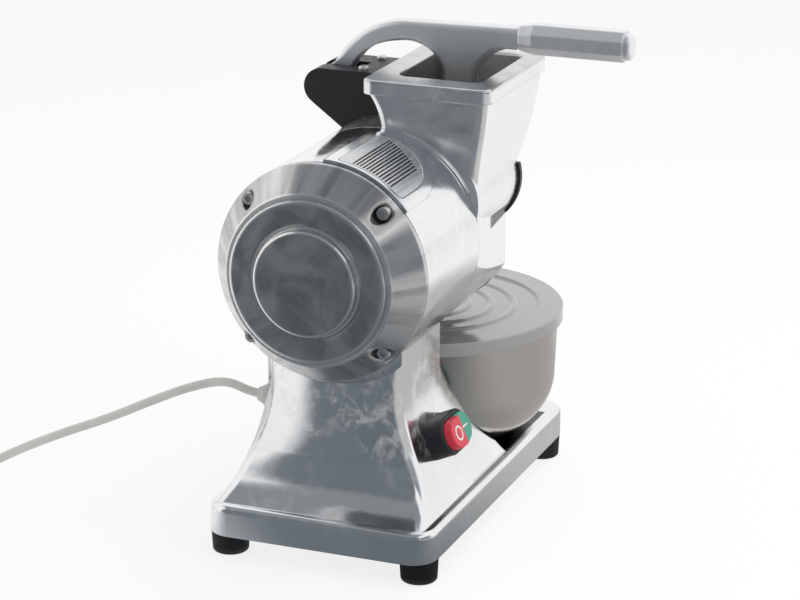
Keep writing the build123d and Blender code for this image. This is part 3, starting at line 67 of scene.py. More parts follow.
# Heights from the motor axis between which the pedestal's marks come in and fade out
PEDESTAL_FOOT, PEDESTAL_LOW = -172 * MM, -105 * MM
PEDESTAL_HIGH, PEDESTAL_NECK = -80 * MM, -55 * MM
# The deck under the bowl, where painted shade darkens it: before and past the bowl's axis, half its width,
# heights from the motor axis
DECK_REAR, DECK_FRONT = 105 * MM, 48 * MM
DECK_HALF = 76 * MM
DECK_LOW, DECK_HIGH = -171.5 * MM, -169.5 * MM
# The inside of the hopper from the motor axis, and the rim left above it
HOPPER_REAR, HOPPER_FRONT = 113.5 * MM, 208 * MM
HOPPER_NEAR, HOPPER_FAR = -69.5 * MM, -4.5 * MM
HOPPER_RIM = 1.5 * MM
# Edges on the rear cover, and where its face gives way to the ring outside
COVER_DISC_R, COVER_BOSS_R = 36.3 * MM, 56.5 * MM
COVER_FACE_R, COVER_RING_R = 56 * MM, 58 * MM
BARREL_R = 75 * MM
COLLAR = 95 * MM  # along the barrel from the cover's flange
COIL_CENTRE = Vector((-26, 366, 0)) * MM  # from the motor axis, on the floor
COIL_RUN = 36  # mm, the straight cord before the coil


def middle(box):
    return (Vector(box[0]) + Vector(box[1])) / 2


class GraterSizes(bpy.types.PropertyGroup):
    """Sizes that a user would change"""

    cord_diameter: FloatProperty(
        name="Cord diameter", description="Outside of the mains cord", default=6.2 * MM, unit="LENGTH"
    )
    coil_radius: FloatProperty(
        name="Coil radius", description="Outer turn of the wound cord", default=44.1 * MM, unit="LENGTH"
    )
    coil_step: FloatProperty(
        name="Coil step", description="Distance from turn to turn", default=6.9 * MM, unit="LENGTH"
    )
    coil_layer: FloatProperty(
        name="Coil layer",
        description="Rise from the lower to the upper turns",
        default=6.8 * MM,
        unit="LENGTH",
    )
    coil_low: FloatProperty(
        name="Coil height",
        description="Middle of the lower turns over the floor",
        default=4.25 * MM,
        unit="LENGTH",
    )
    coil_turns: FloatProperty(
        name="Coil turns", description="Turns in both layers", default=6 + 130.5 / 360
    )
    coil_start: FloatProperty(
        name="Coil start",
        description="Where the cord joins the coil",
        default=math.radians(220.5),
        subtype="ANGLE",
    )
    coil_points: IntProperty(
        name="Points per turn", description="Control points in one turn of the coil", default=20
    )
    bead_radius: FloatProperty(
        name="Collar bead",
        description="Half the width of the bead round the barrel's end",
        default=1.7 * MM,
        unit="LENGTH",
    )
    mark_radius: FloatProperty(
        name="Stop ring",
        description="Outside of the ring on the stop button",
        default=5.4 * MM,
        unit="LENGTH",
    )
    mark_width: FloatProperty(
        name="Mark width", description="Stroke of the marks on the buttons", default=1.5 * MM, unit="LENGTH"
    )
    mark_height: FloatProperty(
        name="Mark height", description="How far the marks stand out", default=0.15 * MM, unit="LENGTH"
    )


class GraterColours(bpy.types.PropertyGroup):
    """Colours that a user would change"""

    casting: FloatVectorProperty(
        name="Casting", description="Polished aluminium", subtype="COLOR", default=(0.86, 0.87, 0.88)
    )
    lever: FloatVectorProperty(
        name="Lever", description="Satin aluminium", subtype="COLOR", default=(0.88, 0.885, 0.90)
    )
    cover: FloatVectorProperty(
        name="Rear cover", description="Turned aluminium", subtype="COLOR", default=(0.60, 0.60, 0.605)
    )
    steel: FloatVectorProperty(
        name="Bowl", description="Satin stainless steel", subtype="COLOR", default=(0.58, 0.555, 0.525)
    )
    lid: FloatVectorProperty(
        name="Lid", description="Milky plastic", subtype="COLOR", default=(0.29, 0.29, 0.295)
    )
    black: FloatVectorProperty(
        name="Black plastic",
        description="Hinge housing and switch box",
        subtype="COLOR",
        default=(0.013, 0.014, 0.017),
    )
    rubber: FloatVectorProperty(
        name="Rubber", description="Feet", subtype="COLOR", default=(0.005, 0.005, 0.006)
    )
    cord: FloatVectorProperty(
        name="Cord", description="Sheath of the mains cord", subtype="COLOR", default=(0.58, 0.57, 0.54)
    )
    stop: FloatVectorProperty(
        name="Stop button", description="Red plastic", subtype="COLOR", default=(0.56, 0.03, 0.05)
    )
    start: FloatVectorProperty(
        name="Start button", description="Green plastic", subtype="COLOR", default=(0.04, 0.26, 0.19)
    )


class Finish:
    """A material's node tree, with short calls for the nodes that the finishes share."""

    def __init__(self, name, colour, metallic, roughness):
        self.material = bpy.data.materials.new(name)
        self.material.use_nodes = True
        self.tree = self.material.node_tree
        self.shader = self.tree.nodes["Principled BSDF"]
        self.colour = tuple(colour)
        self.set(Base_Color=(*self.colour, 1), Metallic=metallic, Roughness=roughness)
        self.here = self.node("ShaderNodeTexCoord").outputs["Object"]

    def set(self, **values):
        for name, value in values.items():
            self.feed(self.shader.inputs[name.replace("_", " ")], value)

    def feed(self, socket, value):
        if isinstance(value, bpy.types.NodeSocket):
            self.tree.links.new(value, socket)
        else:
            socket.default_value = value

    def node(self, kind, inputs=None, **settings):
        node = self.tree.nodes.new(kind)
        for name, value in settings.items():
            setattr(node, name, value)
        for name, value in (inputs or {}).items():
            self.feed(node.inputs[name], value)
        return node

    def math(self, operation, first, second=0.0):
        return self.node("ShaderNodeMath", {0: first, 1: second}, operation=operation).outputs[0]

    def moved(self, centre=(0, 0, 0), stretch=(1, 1, 1)):
        """Object coordinates from a centre, stretched."""
        shift = self.node("ShaderNodeVectorMath", {0: self.here, 1: tuple(centre)}, operation="SUBTRACT")
        place = self.node("ShaderNodeVectorMath", {0: shift.outputs[0], 1: stretch}, operation="MULTIPLY")
        return place.outputs[0]

    def noise(self, scale, detail=3.0, rough=0.5, warp=0.0, at=None):
        inputs = {
            "Vector": at or self.here,
            "Scale": scale,
            "Detail": detail,
            "Roughness": rough,
            "Distortion": warp,
        }
        return self.node("ShaderNodeTexNoise", inputs).outputs["Fac"]

    def spread(self, factor, low, high, start=0.35, end=0.65):
        """Maps a factor between start and end to values between low and high."""
        inputs = {"Value": factor, "From Min": start, "From Max": end, "To Min": low, "To Max": high}
        return self.node("ShaderNodeMapRange", inputs, interpolation_type="SMOOTHSTEP").outputs["Result"]

    def paint(self, factor, first, second):
        """Mixes two colours, each a socket or red, green and blue."""
        node = self.node("ShaderNodeMix", data_type="RGBA")
        ends = [(*end, 1) if isinstance(end, tuple) else end for end in (first, second)]
        for socket, value in zip((node.inputs[0], node.inputs[6], node.inputs[7]), (factor, *ends)):
            self.feed(socket, value)
        return node.outputs[2]

    def shade(self, factor, dark, light):
        """The finish's own colour, from dark to light times its strength."""
        first, second = [tuple(min(1.0, c * times) for c in self.colour) for times in (dark, light)]
        return self.paint(factor, first, second)

    def soft_edge(self, radius):
        return self.node("ShaderNodeBevel", {"Radius": radius}, samples=10).outputs["Normal"]

    def bump(self, height, distance, normal):
        inputs = {"Height": height, "Distance": distance, "Normal": normal}
        return self.node("ShaderNodeBump", inputs).outputs["Normal"]

    def around(self, centre, axis):
        """Distance from an axis through a centre, the angle about it and the distance along it."""
        split = self.node("ShaderNodeSeparateXYZ", {"Vector": self.moved(centre)})
        first, second = [split.outputs[i] for i in range(3) if i != axis]
        squares = self.math("ADD", self.math("POWER", first, 2.0), self.math("POWER", second, 2.0))
        return self.math("SQRT", squares), self.math("ARCTAN2", second, first), split.outputs[axis]

    def ring_noise(self, place, ring, turn, along, detail=3.0):
        """A noise with its own scale outward, around and along an axis."""
        scaled = [self.math("MULTIPLY", value, scale) for value, scale in zip(place, (ring, turn, along))]
        point = self.node("ShaderNodeCombineXYZ", dict(zip("XYZ", scaled))).outputs[0]
        return self.noise(1, detail=detail, at=point)

    def band(self, value, centre, half):
        """1 at a value and 0 further than half from it."""
        off = self.math("ABSOLUTE", self.math("SUBTRACT", value, centre))
        return self.spread(off, 1, 0, half * 0.5, half)

    def inside(self, low, high, soft):
        """1 inside a box and 0 outside it, over a soft edge."""
        split = self.node("ShaderNodeSeparateXYZ", {"Vector": self.here})
        mask = 1.0
        for socket, first, last in zip(split.outputs, low, high):
            rise = self.spread(socket, 0, 1, first - soft, first + soft)
            fall = self.spread(socket, 1, 0, last - soft, last + soft)
            mask = self.math("MULTIPLY", mask, self.math("MULTIPLY", rise, fall))
        return mask


def dress(finish, *nodes):
    for name in nodes:
        slots = frame["nodes"][name].data.materials
        slots.clear()
        slots.append(finish.material)


def buffed_aluminium(name, colour, rough=0.12, marks=0.1, wave=1.0, edge=1.5):
    """Cast aluminium buffed by hand: nearly a mirror, with faint cloudy marks and a slow wave."""
    finish = Finish(name, colour, 1.0, rough)
    cloud = finish.noise(24, detail=4, rough=0.55, warp=0.8)
    wisps = finish.noise(75, detail=4, rough=0.6, warp=1.6, at=finish.moved(MOTOR, (1, 1, 0.5)))
    patches = finish.spread(cloud, 0, 1, 0.4, 0.68)
    cast = finish.math("MULTIPLY", patches, finish.spread(wisps, 0.2, 1, 0.36, 0.68))
    finish.set(Roughness=finish.spread(cast, rough, rough + marks, 0, 1))
    finish.set(Base_Color=finish.shade(cast, 0.96, 1.04))
    slow = finish.bump(finish.noise(14, detail=1.5), wave * MM, finish.soft_edge(edge * MM))
    finish.set(Normal=finish.bump(finish.noise(1200, detail=2), 0.006 * MM, slow))
    return finish


class GRATER_OT_castings(bpy.types.Operator):
    """Finish the body, head and lever castings"""

    bl_idname = "grater.castings"
    bl_label = "Castings"

    def execute(self, context):
        colours = context.scene.grater_colours
        dress(self.body(colours.casting), "body_casting")
        dress(self.head(colours.casting), "head_casting")
        satin = buffed_aluminium("satin_lever", colours.lever, rough=0.38, marks=0.02, wave=0.2, edge=1.8)
        satin.set(Metallic=0.9)
        dress(satin, "lever_casting", "lever_grip", "grip_cap")
        return {"FINISHED"}

    def body(self, colour):
        """Cloudy buffing marks on the pedestal, whose rear face is a little crowned, and painted shade on the
        deck under the bowl.
        """
        finish = buffed_aluminium("buffed_body", colour)
        split = finish.node("ShaderNodeSeparateXYZ", {"Vector": finish.moved(MOTOR)})
        height = split.outputs[2]
        rise = finish.spread(height, 0, 1, PEDESTAL_FOOT, PEDESTAL_LOW)
        fall = finish.spread(height, 1, 0, PEDESTAL_HIGH, PEDESTAL_NECK)
        pedestal = finish.math("MULTIPLY", rise, fall)
        cloud = finish.spread(finish.noise(26, detail=3, rough=0.5), 0, 1, 0.34, 0.56)
        strokes = finish.noise(60, detail=8, rough=0.74, warp=0.4)
        marks = finish.math("MULTIPLY", cloud, finish.spread(strokes, 0, 1, 0.43, 0.62))
        finish.set(Metallic=finish.spread(finish.math("MULTIPLY", marks, pedestal), 1.0, 0.68, 0, 1))
        # Painted shade: the deck under the bowl is coloured near black where the bowl's shadow and dark
        # reflection fall
        low = Vector((BOWL.x - DECK_REAR, MOTOR.y - DECK_HALF, MOTOR.z + DECK_LOW))
        high = Vector((BOWL.x + DECK_FRONT, MOTOR.y + DECK_HALF, MOTOR.z + DECK_HIGH))
        painted_shade_under_bowl = finish.inside(low, high, 0.6 * MM)
        polish = finish.shader.inputs["Base Color"].links[0].from_socket
        dark = (0.04, 0.042, 0.045)
        finish.set(Base_Color=finish.paint(painted_shade_under_bowl, polish, dark))
        facing = finish.node("ShaderNodeNewGeometry").outputs["True Normal"]
        rearward = finish.node("ShaderNodeSeparateXYZ", {"Vector": facing}).outputs[0]
        share = finish.math("MULTIPLY", pedestal, finish.spread(rearward, 1, 0, -0.5, -0.2))
        crown = {
            "Strength": share,
            "Distance": -5.0,
            "Height": finish.math("POWER", split.outputs[1], 2.0),
            "Normal": finish.shader.inputs["Normal"].links[0].from_socket,
        }
        finish.set(Normal=finish.node("ShaderNodeBump", crown).outputs["Normal"])
        return finish

    def head(self, colour):
        """Buffed outside; inside the hopper rough and grainy as cast, and darkened by painted shade."""
        finish = buffed_aluminium("buffed_head", colour, rough=0.2, marks=0.1, wave=0.6)
        top = HEAD[1][2]
        low = Vector((MOTOR.x + HOPPER_REAR, MOTOR.y + HOPPER_NEAR, MOTOR.z))
        high = Vector((MOTOR.x + HOPPER_FRONT, MOTOR.y + HOPPER_FAR, top - HOPPER_RIM))
        rough = finish.inside(low, high, 0.4 * MM)
        cloud = finish.noise(20, detail=4, rough=0.6, warp=0.5)
        finish.set(Metallic=finish.spread(cloud, 1.0, 0.84, 0.4, 0.7))
        grain = finish.noise(420, detail=5, rough=0.7)
        polish = finish.shader.inputs["Base Color"].links[0].from_socket
        smooth = finish.shader.inputs["Roughness"].links[0].from_socket
        # Inside the hopper: a real as-cast grain, set in a dark grey that is painted shade of the hollow
        cast = finish.paint(grain, (0.16, 0.165, 0.17), (0.34, 0.345, 0.35))
        height = finish.node("ShaderNodeSeparateXYZ", {"Vector": finish.here}).outputs[2]
        rim = finish.spread(height, 0, 1, top - 2.5 * MM, top - 0.5 * MM)
        worn = finish.shade(finish.noise(90, detail=5, rough=0.65), 0.45, 0.95)
        finish.set(Base_Color=finish.paint(rough, finish.paint(rim, polish, worn), cast))
        level = finish.node("ShaderNodeMix", {0: rough, 2: smooth, 3: 0.5})
        finish.set(Roughness=level.outputs[0])
        return finish


class GRATER_OT_cover(bpy.types.Operator):
    """Finish the turned rear cover and the vent plate"""

    bl_idname = "grater.cover"
    bl_label = "Rear cover and vent"

    def execute(self, context):
        colours = context.scene.grater_colours
        finish = Finish("turned_cover", colours.cover, 1.0, 0.25)
        place = finish.around(MOTOR, 0)
        grooves = finish.ring_noise(place, 2400, 0.5, 2400)
        # Painted highlight: radial streaks in the ring's colour stand in for the turned metal's streaky
        # highlights
        highlight_streaks = finish.ring_noise(place, 8, 5, 8, detail=4)
        smudge = finish.noise(34, detail=5, rough=0.6, warp=0.6)
        ring = finish.shade(finish.spread(highlight_streaks, 0, 1, 0.34, 0.66), 0.62, 1.18)
        face = finish.shade(finish.spread(smudge, 0, 1), 0.66, 0.94)
        radius = place[0]
        outer = finish.spread(radius, 0, 1, COVER_FACE_R, COVER_RING_R)
        # Painted highlight: light bands at the disc and boss edges, which are also polished
        disc_edge = finish.band(radius, COVER_DISC_R, 2.4 * MM)
        boss_edge = finish.band(radius, COVER_BOSS_R, 4 * MM)
        highlit_edges = finish.math("MAXIMUM", disc_edge, boss_edge)
        flats = finish.paint(outer, face, ring)
        finish.set(Base_Color=finish.paint(highlit_edges, flats, (0.9, 0.89, 0.88)))
        polish = finish.math("MAXIMUM", highlit_edges, outer)
        level = finish.node("ShaderNodeMix", {0: polish, 2: finish.spread(smudge, 0.26, 0.36), 3: 0.2})
        finish.set(Roughness=level.outputs[0])
        finish.set(Normal=finish.bump(grooves, 0.02 * MM, finish.soft_edge(3.2 * MM)))
        dress(finish, "rear_cover")
        vent = Finish("vent_plate", colours.casting, 1.0, 0.3)
        streak = vent.noise(1, detail=4, at=vent.moved(MOTOR, (14, 420, 420)))
        vent.set(Base_Color=vent.shade(streak, 0.8, 1.1))
        vent.set(Roughness=vent.spread(streak, 0.28, 0.4))
        vent.set(Normal=vent.bump(streak, 0.05 * MM, vent.soft_edge(0.4 * MM)))
        dress(vent, "vent_grille")
        return {"FINISHED"}


class GRATER_OT_bowl(bpy.types.Operator):
    """Finish the bowl and its lid"""

    bl_idname = "grater.bowl"
    bl_label = "Bowl and lid"

    def execute(self, context):
        colours = context.scene.grater_colours
        bowl = Finish("satin_bowl", colours.steel, 1.0, 0.3)
        lines = bowl.ring_noise(bowl.around(BOWL, 2), 1500, 0.8, 4200, detail=1)
        bowl.set(Base_Color=bowl.shade(bowl.noise(25, detail=4), 0.95, 1.05))
        bowl.set(Roughness=bowl.spread(lines, 0.15, 0.19))
        bowl.set(Normal=bowl.bump(lines, 0.0004 * MM, bowl.soft_edge(0.5 * MM)))
        dress(bowl, "bowl")
        lid = Finish("milky_lid", colours.lid, 0.0, 0.2)
        lid.set(Coat_Weight=0.6, Coat_Roughness=0.05, Specular_IOR_Level=0.6)
        lid.set(Base_Color=lid.shade(lid.noise(18, detail=3), 0.95, 1.04))
        lid.set(Roughness=lid.spread(lid.noise(60, detail=3), 0.12, 0.18))
        lid.set(Normal=lid.bump(lid.noise(16, detail=1), 0.1 * MM, lid.soft_edge(0.8 * MM)))
        dress(lid, "bowl_lid")
        return {"FINISHED"}


def moulded(name, colour, roughness, grain=0.02):
    """Moulded plastic or rubber with a fine grain and a little dust."""
    finish = Finish(name, colour, 0.0, roughness)
    speck = finish.noise(260, detail=5, rough=0.65)
    finish.set(Base_Color=finish.shade(finish.noise(45, detail=4), 0.85, 1.25))
    finish.set(Roughness=finish.spread(speck, roughness - 0.06, roughness + 0.10))
    finish.set(Normal=finish.bump(finish.noise(1500, detail=2), grain * MM, finish.soft_edge(0.9 * MM)))
    return finish


def plain_metal(name, colour, roughness):
    """Turned or stamped metal with fine scratches."""
    finish = Finish(name, colour, 1.0, roughness)
    scratch = finish.noise(1, detail=3, at=finish.moved(stretch=(120, 1600, 1600)))
    finish.set(Base_Color=finish.shade(finish.noise(80, detail=4), 0.8, 1.1))
    finish.set(Roughness=finish.spread(scratch, roughness - 0.08, roughness + 0.12))
    finish.set(Normal=finish.bump(scratch, 0.02 * MM, finish.soft_edge(0.3 * MM)))
    return finish


class GRATER_OT_fittings(bpy.types.Operator):
    """Finish the plastic, rubber, steel and motor pieces"""

    bl_idname = "grater.fittings"
    bl_label = "Fittings"

    def execute(self, context):
        colours = context.scene.grater_colours
        black = moulded("black_plastic", colours.black, 0.42)
        dress(black, "hinge_housing", "switch_housing", "end_cover")
        dress(black, "cooling_fan", "contact_block", "reed_switch")
        dress(moulded("foot_rubber", colours.rubber, 0.62, 0.05), "rubber_feet")
        dress(moulded("stop_plastic", colours.stop, 0.32), "stop_button")
        dress(moulded("start_plastic", colours.start, 0.36), "start_button")
        grey = moulded("grey_plastic", colours.cord, 0.45)
        dress(grey, "cable_gland", "run_capacitor", "terminal_block", "plug_body")
        dress(moulded("tie_plastic", colours.black, 0.4), "cord_tie")
        screws = plain_metal("screw_steel", (0.78, 0.77, 0.75), 0.4)
        dress(screws, "cover_screws", "foot_screws", "bottom_screws", "head_bolts", "end_cover_screws")
        dress(screws, "hinge_screws", "hinge_bolts", "pivot_pin", "switch_nut", "gland_nut", "bottom_plate")
        steel = plain_metal("motor_steel", (0.42, 0.43, 0.45), 0.38)
        dress(steel, "stator_core", "rotor_core", "motor_shaft", "motor_pinion", "drive_gear", "lever_magnet")
        dress(plain_metal("bearing_steel", (0.62, 0.62, 0.64), 0.2), "motor_bearings", "roller_bearings")
        roller = plain_metal("roller_steel", (0.6, 0.6, 0.6), 0.3)
        dress(roller, "roller_shaft", "grating_drum", "roller_hubs")
        dress(plain_metal("winding_copper", (0.6, 0.28, 0.13), 0.35), "stator_windings")
        dress(plain_metal("pin_brass", (0.75, 0.66, 0.42), 0.25), "plug_pins")
        return {"FINISHED"}


def finished_piece(name, body, finish):
    """Names the active object, gives it its finish and lets it move with a body."""
    piece = bpy.context.object
    piece.name = name
    piece.data.name = name
    piece.data.materials.append(finish.material)
    bpy.ops.object.transform_apply(location=True, rotation=True, scale=True)
    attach(piece, body)
    return piece


def button_front(name, out):
    """Middle of a button's front face, which is square to the direction out."""
    points = [vertex.co for vertex in frame["nodes"][name].data.vertices]
    reach = max(point.dot(out) for point in points)
    face = [point for point in points if point.dot(out) > reach - 0.05 * MM]
    low = Vector([min(point[i] for point in face) for i in range(3)])
    high = Vector([max(point[i] for point in face) for i in range(3)])
    return (low + high) / 2


class GRATER_OT_marks(bpy.types.Operator):
    """Set the ring and the bar on the push buttons"""

    bl_idname = "grater.marks"
    bl_label = "Button marks"

    def execute(self, context):
        sizes = context.scene.grater_sizes
        white = moulded("mark_white", (0.78, 0.76, 0.72), 0.4)
        out = -Vector(JOINTS["stop_press"]["axis"])
        lean = (math.atan2(-out.y, out.z), 0, 0)
        to_middle = Vector((1.2 * MM, 0, 0))
        sunk = out * 0.02 * MM
        bpy.ops.object.select_all(action="DESELECT")
        bpy.ops.mesh.primitive_circle_add(
            vertices=64,
            radius=sizes.mark_radius,
            fill_type="NGON",
            location=button_front("stop_button", out) + to_middle - sunk,
            rotation=lean,
        )
        bpy.ops.object.mode_set(mode="EDIT")
        bpy.ops.mesh.select_all(action="SELECT")
        bpy.ops.mesh.inset(thickness=sizes.mark_width)
        bpy.ops.mesh.delete(type="FACE")
        bpy.ops.mesh.select_all(action="SELECT")
        bpy.ops.mesh.extrude_region_move(TRANSFORM_OT_translate={"value": out * sizes.mark_height})
        bpy.ops.mesh.select_all(action="SELECT")
        bpy.ops.mesh.normals_make_consistent(inside=False)
        bpy.ops.object.mode_set(mode="OBJECT")
        finished_piece("stop_ring", "stop_button", white)
        bpy.ops.object.select_all(action="DESELECT")
        bpy.ops.mesh.primitive_cube_add(
            size=1,
            location=button_front("start_button", out) - to_middle,
            rotation=lean,
            scale=(2 * sizes.mark_radius, 0.8 * sizes.mark_width, 2 * sizes.mark_height),
        )
        finished_piece("start_bar", "start_button", white)
        return {"FINISHED"}


class GRATER_OT_bead(bpy.types.Operator):
    """Run the bead along the collar where the head meets the barrel"""

    bl_idname = "grater.bead"
    bl_label = "Collar bead"

    def execute(self, context):
        sizes = context.scene.grater_sizes
        start, sweep = math.radians(14), math.radians(48)
        rim = Vector((COLLAR, -BARREL_R * math.sin(start), BARREL_R * math.cos(start)))
        bpy.ops.object.select_all(action="DESELECT")
        bpy.ops.mesh.primitive_circle_add(
            vertices=16, radius=sizes.bead_radius, location=MOTOR + rim, rotation=(math.pi / 2 + start, 0, 0)
        )
        bpy.ops.object.transform_apply(location=True, rotation=True)
        bpy.ops.object.mode_set(mode="EDIT")
        bpy.ops.mesh.select_all(action="SELECT")
        bpy.ops.mesh.spin(steps=40, angle=-sweep, center=MOTOR, axis=(1, 0, 0))
        bpy.ops.mesh.select_all(action="SELECT")
        bpy.ops.mesh.normals_make_consistent(inside=False)
        bpy.ops.object.mode_set(mode="OBJECT")
        bpy.ops.object.shade_smooth()
        finish = buffed_aluminium("buffed_bead", context.scene.grater_colours.casting)
        finished_piece("collar_bead", "frame", finish)
        return {"FINISHED"}


def coil_path(sizes, centre):
    """The wound cord as a function of the angle wound: it spirals in below and out above."""
    sweep = 2 * math.pi * sizes.coil_turns
    inner = sizes.coil_radius - sizes.coil_step * sizes.coil_turns / 2

    def point(turn):
        radius = inner + sizes.coil_step * abs(turn - sweep / 2) / (2 * math.pi)
        rise = min(1.0, max(0.0, 0.5 + (turn - sweep / 2) / math.pi))
        angle = sizes.coil_start - turn
        height = sizes.coil_low + sizes.coil_layer * rise
        return centre + Vector((radius * math.cos(angle), radius * math.sin(angle), height))

    return point, sweep


class GRATER_OT_cord(bpy.types.Operator):
    """Lay the mains cord from its gland to the coil and the plug"""

    bl_idname = "grater.cord"
    bl_label = "Mains cord"

    def execute(self, context):
        sizes = context.scene.grater_sizes
        route = self.route(sizes)
        curve = bpy.data.curves.new("mains_lead", "CURVE")
        curve.dimensions = "3D"
        curve.bevel_depth = sizes.cord_diameter / 2
        curve.bevel_resolution = 5
        curve.resolution_u = 6
        curve.use_fill_caps = True
        spline = curve.splines.new("NURBS")
        spline.points.add(len(route) - 1)
        for spot, place in zip(spline.points, route):
            spot.co = (*place, 1)
        spline.order_u = 3
        spline.use_endpoint_u = True
        cord = bpy.data.objects.new("mains_lead", curve)
        context.scene.collection.objects.link(cord)
        curve.materials.append(moulded("cord_sheath", context.scene.grater_colours.cord, 0.5).material)
        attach(cord, "frame")
        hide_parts("mains_cord", "cord_coil")
        tuple(route[0])
        sum((after - before).length for before, after in zip(route, route[1:]))
        return {"FINISHED"}

    def route(self, sizes):
        """Points given one by one from the gland to the coil, then the coil's turns."""
        ground = Vector((MOTOR.x, MOTOR.y, 0))
        point, sweep = coil_path(sizes, ground + COIL_CENTRE)
        count = round(sweep / (2 * math.pi) * sizes.coil_points)
        turns = [point(sweep * i / count) for i in range(count + 1)]
        tiny = 0.001
        into = (point(tiny) - point(0)).normalized()
        out = (point(sweep) - point(sweep - tiny)).normalized()
        lead = turns[0] - into * sizes.cord_diameter
        gland, mouth, seat = middle(GLAND), GLAND[1][1], 6 * MM
        free = [
            Vector((gland.x, mouth - seat, gland.z)),
            Vector((gland.x, mouth + seat, gland.z)),
            ground + Vector((42, 92, 106.7)) * MM,
            ground + Vector((43.5, 118, 98.7)) * MM,
            ground + Vector((40, 148, 85.2)) * MM,
            ground + Vector((31.5, 180, 69.7)) * MM,
            ground + Vector((17, 214, 57.7)) * MM,
            ground + Vector((1, 248, 42.7)) * MM,
            ground + Vector((-18, 282, 23.2)) * MM,
            lead - into * COIL_RUN * MM,
            lead,
        ]
        return free + turns + [turns[-1] + out * sizes.cord_diameter]


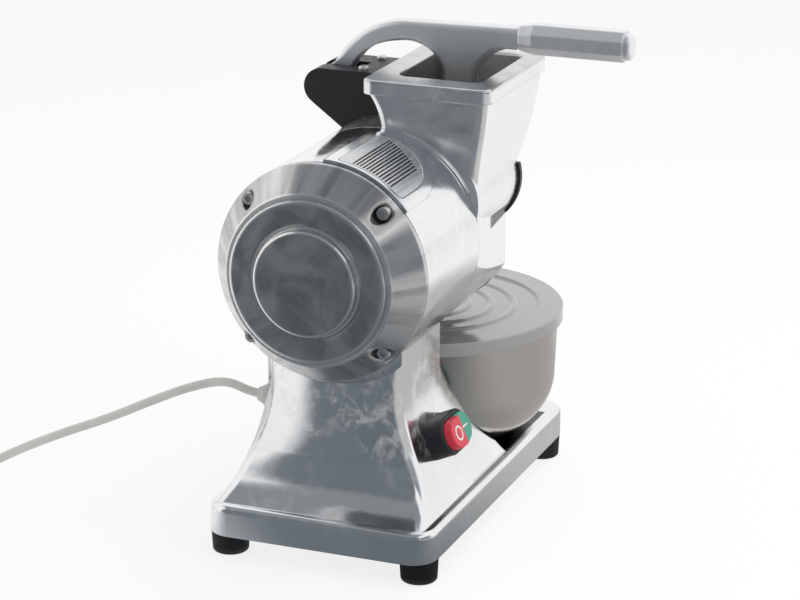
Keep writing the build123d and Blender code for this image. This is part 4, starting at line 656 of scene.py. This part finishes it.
class GRATER_OT_stage(bpy.types.Operator):
    """Set the floor, the cards, the light and the camera"""

    bl_idname = "grater.stage"
    bl_label = "Stage"

    def execute(self, context):
        scene = context.scene
        scene.view_settings.view_transform = "Standard"
        self.floor()
        dark, grey, pale = (0.12, 0.145, 0.165), (0.22, 0.24, 0.26), (0.52, 0.51, 0.5)
        slant = math.radians(-40)
        self.card("front_card", (-1.35, -0.15, 0.75), (0, math.pi / 2, 0), (2.2, 3.1), dark, (0.12, 0.12))
        self.card("floor_card", (-1.0, -0.105, 0.004), (0, 0, slant), (1.8, 1.55), dark, (0.18, 0.08))
        self.card("side_card", (-0.175, -0.6, 0.002), (0, 0, 0), (1.45, 1.4), pale, (0.16, 0.1))
        self.card("wall_card", (-0.5, -1.35, 0.5), (math.pi / 2, 0, 0), (1.8, 1.2), grey, (0.25, 0.2))
        self.card("top_card", (-0.6, 0.1, 1.4), (0, 0, 0), (1.8, 2.0), grey, (0.2, 0.14))
        self.world(scene)
        self.lamp(scene, "top_softbox", (0.35, -0.35, 1.6), (0.05, 0.05, 0.1), 1.4, 13)
        self.lamp(scene, "side_softbox", (-0.5, -1.6, 0.9), (0.0, 0.0, 0.15), 1.2, 9)
        self.camera(scene)
        return {"FINISHED"}

    def floor(self):
        bpy.ops.object.select_all(action="DESELECT")
        bpy.ops.mesh.primitive_plane_add(size=12, location=(0, 0, 0))
        floor = bpy.context.object
        floor.name = "floor"
        finish = Finish("pale_floor", (0.9, 0.9, 0.9), 0.0, 0.9)
        finish.set(Specular_IOR_Level=0.0)
        path = finish.node("ShaderNodeLightPath").outputs
        seen = finish.math("MAXIMUM", path["Is Camera Ray"], path["Is Glossy Ray"])
        seen = finish.math("MAXIMUM", seen, path["Is Transmission Ray"])
        white = finish.node("ShaderNodeEmission", {"Color": (1, 1, 1, 1)})
        whiteness = 0.82
        share = finish.math("MULTIPLY", seen, whiteness)
        layers = {0: share, 1: finish.shader.outputs[0], 2: white.outputs[0]}
        both = finish.node("ShaderNodeMixShader", layers)
        finish.feed(finish.tree.nodes["Material Output"].inputs["Surface"], both.outputs[0])
        floor.data.materials.append(finish.material)

    def card(self, name, place, turn, size, colour, soft):
        """A dark card that only mirrors see, with edges that are soft over a share of its size."""
        bpy.ops.object.select_all(action="DESELECT")
        bpy.ops.mesh.primitive_plane_add(size=1, location=place, rotation=turn)
        card = bpy.context.object
        card.name = name
        card.scale = (*size, 1)
        finish = Finish(name, colour, 0.0, 1.0)
        uv = finish.node("ShaderNodeTexCoord").outputs["UV"]
        split = finish.node("ShaderNodeSeparateXYZ", {"Vector": uv})
        cover = 0.95
        mask = cover
        for socket, share in zip(split.outputs, soft):
            edge = finish.math("ABSOLUTE", finish.math("SUBTRACT", socket, 0.5))
            mask = finish.math("MULTIPLY", mask, finish.spread(edge, 1, 0, 0.5 - share, 0.5))
        glow = finish.node("ShaderNodeEmission", {"Color": (*colour, 1)})
        clear = finish.node("ShaderNodeBsdfTransparent")
        both = finish.node("ShaderNodeMixShader", {0: mask, 1: clear.outputs[0], 2: glow.outputs[0]})
        finish.feed(finish.tree.nodes["Material Output"].inputs["Surface"], both.outputs[0])
        card.data.materials.append(finish.material)
        card.visible_camera = False
        card.visible_diffuse = False
        card.visible_shadow = False

    def world(self, scene):
        """White to the camera, to metal and to plastic; a softer light elsewhere."""
        world = bpy.data.worlds.new("studio")
        scene.world = world
        world.use_nodes = True
        tree = world.node_tree
        back = tree.nodes["Background"]
        back.inputs["Color"].default_value = (1, 1, 1, 1)
        path = tree.nodes.new("ShaderNodeLightPath")
        seen = path.outputs["Is Camera Ray"]
        for name in ("Is Glossy Ray", "Is Transmission Ray"):
            either = tree.nodes.new("ShaderNodeMath")
            either.operation = "MAXIMUM"
            tree.links.new(seen, either.inputs[0])
            tree.links.new(path.outputs[name], either.inputs[1])
            seen = either.outputs[0]
        ambient = 0.62
        level = tree.nodes.new("ShaderNodeMapRange")
        level.inputs["To Min"].default_value = ambient
        tree.links.new(seen, level.inputs["Value"])
        tree.links.new(level.outputs["Result"], back.inputs["Strength"])

    def lamp(self, scene, name, place, target, size, power):
        light = bpy.data.lights.new(name, "AREA")
        light.energy = power
        light.size = size
        lamp = bpy.data.objects.new(name, light)
        lamp.location = place
        lamp.visible_glossy = False
        lamp.rotation_euler = (Vector(target) - Vector(place)).to_track_quat("-Z", "Y").to_euler()
        scene.collection.objects.link(lamp)

    def camera(self, scene):
        data = bpy.data.cameras.new("camera")
        data.sensor_width = 36
        frame_width, focal_length = 800, 2845.6
        data.lens = focal_length / frame_width * data.sensor_width
        data.clip_start = 0.01
        camera = bpy.data.objects.new("camera", data)
        from_motor = Vector((-1650.4, -718.3, 565.6)) * MM
        camera.location = MOTOR + from_motor
        yaw, drop = math.radians(21.89), math.radians(18.03)
        look = Vector((math.cos(yaw) * math.cos(drop), math.sin(yaw) * math.cos(drop), -math.sin(drop)))
        camera.rotation_euler = look.to_track_quat("-Z", "Y").to_euler()
        scene.collection.objects.link(camera)
        scene.camera = camera


STEPS = (
    GRATER_OT_stage,
    GRATER_OT_cord,
    GRATER_OT_castings,
    GRATER_OT_cover,
    GRATER_OT_bowl,
    GRATER_OT_fittings,
    GRATER_OT_marks,
    GRATER_OT_bead,
)


class GRATER_PT_panel(bpy.types.Panel):
    """Lists the steps that finish the grater"""

    bl_label = "Grater"
    bl_idname = "GRATER_PT_panel"
    bl_space_type = "VIEW_3D"
    bl_region_type = "UI"
    bl_category = "Grater"

    def draw(self, context):
        for step in STEPS:
            self.layout.operator(step.bl_idname)


CLASSES = (GraterSizes, GraterColours, *STEPS, GRATER_PT_panel)


def register():
    for cls in CLASSES:
        bpy.utils.register_class(cls)
    bpy.types.Scene.grater_sizes = PointerProperty(type=GraterSizes)
    bpy.types.Scene.grater_colours = PointerProperty(type=GraterColours)


def unregister():
    del bpy.types.Scene.grater_colours
    del bpy.types.Scene.grater_sizes
    for cls in reversed(CLASSES):
        bpy.utils.unregister_class(cls)


def main():
    register()
    bpy.ops.grater.stage()
    bpy.ops.grater.cord()
    bpy.ops.grater.castings()
    bpy.ops.grater.cover()
    bpy.ops.grater.bowl()
    bpy.ops.grater.fittings()
    bpy.ops.grater.marks()
    bpy.ops.grater.bead()


if __name__ == "__main__":
    main()
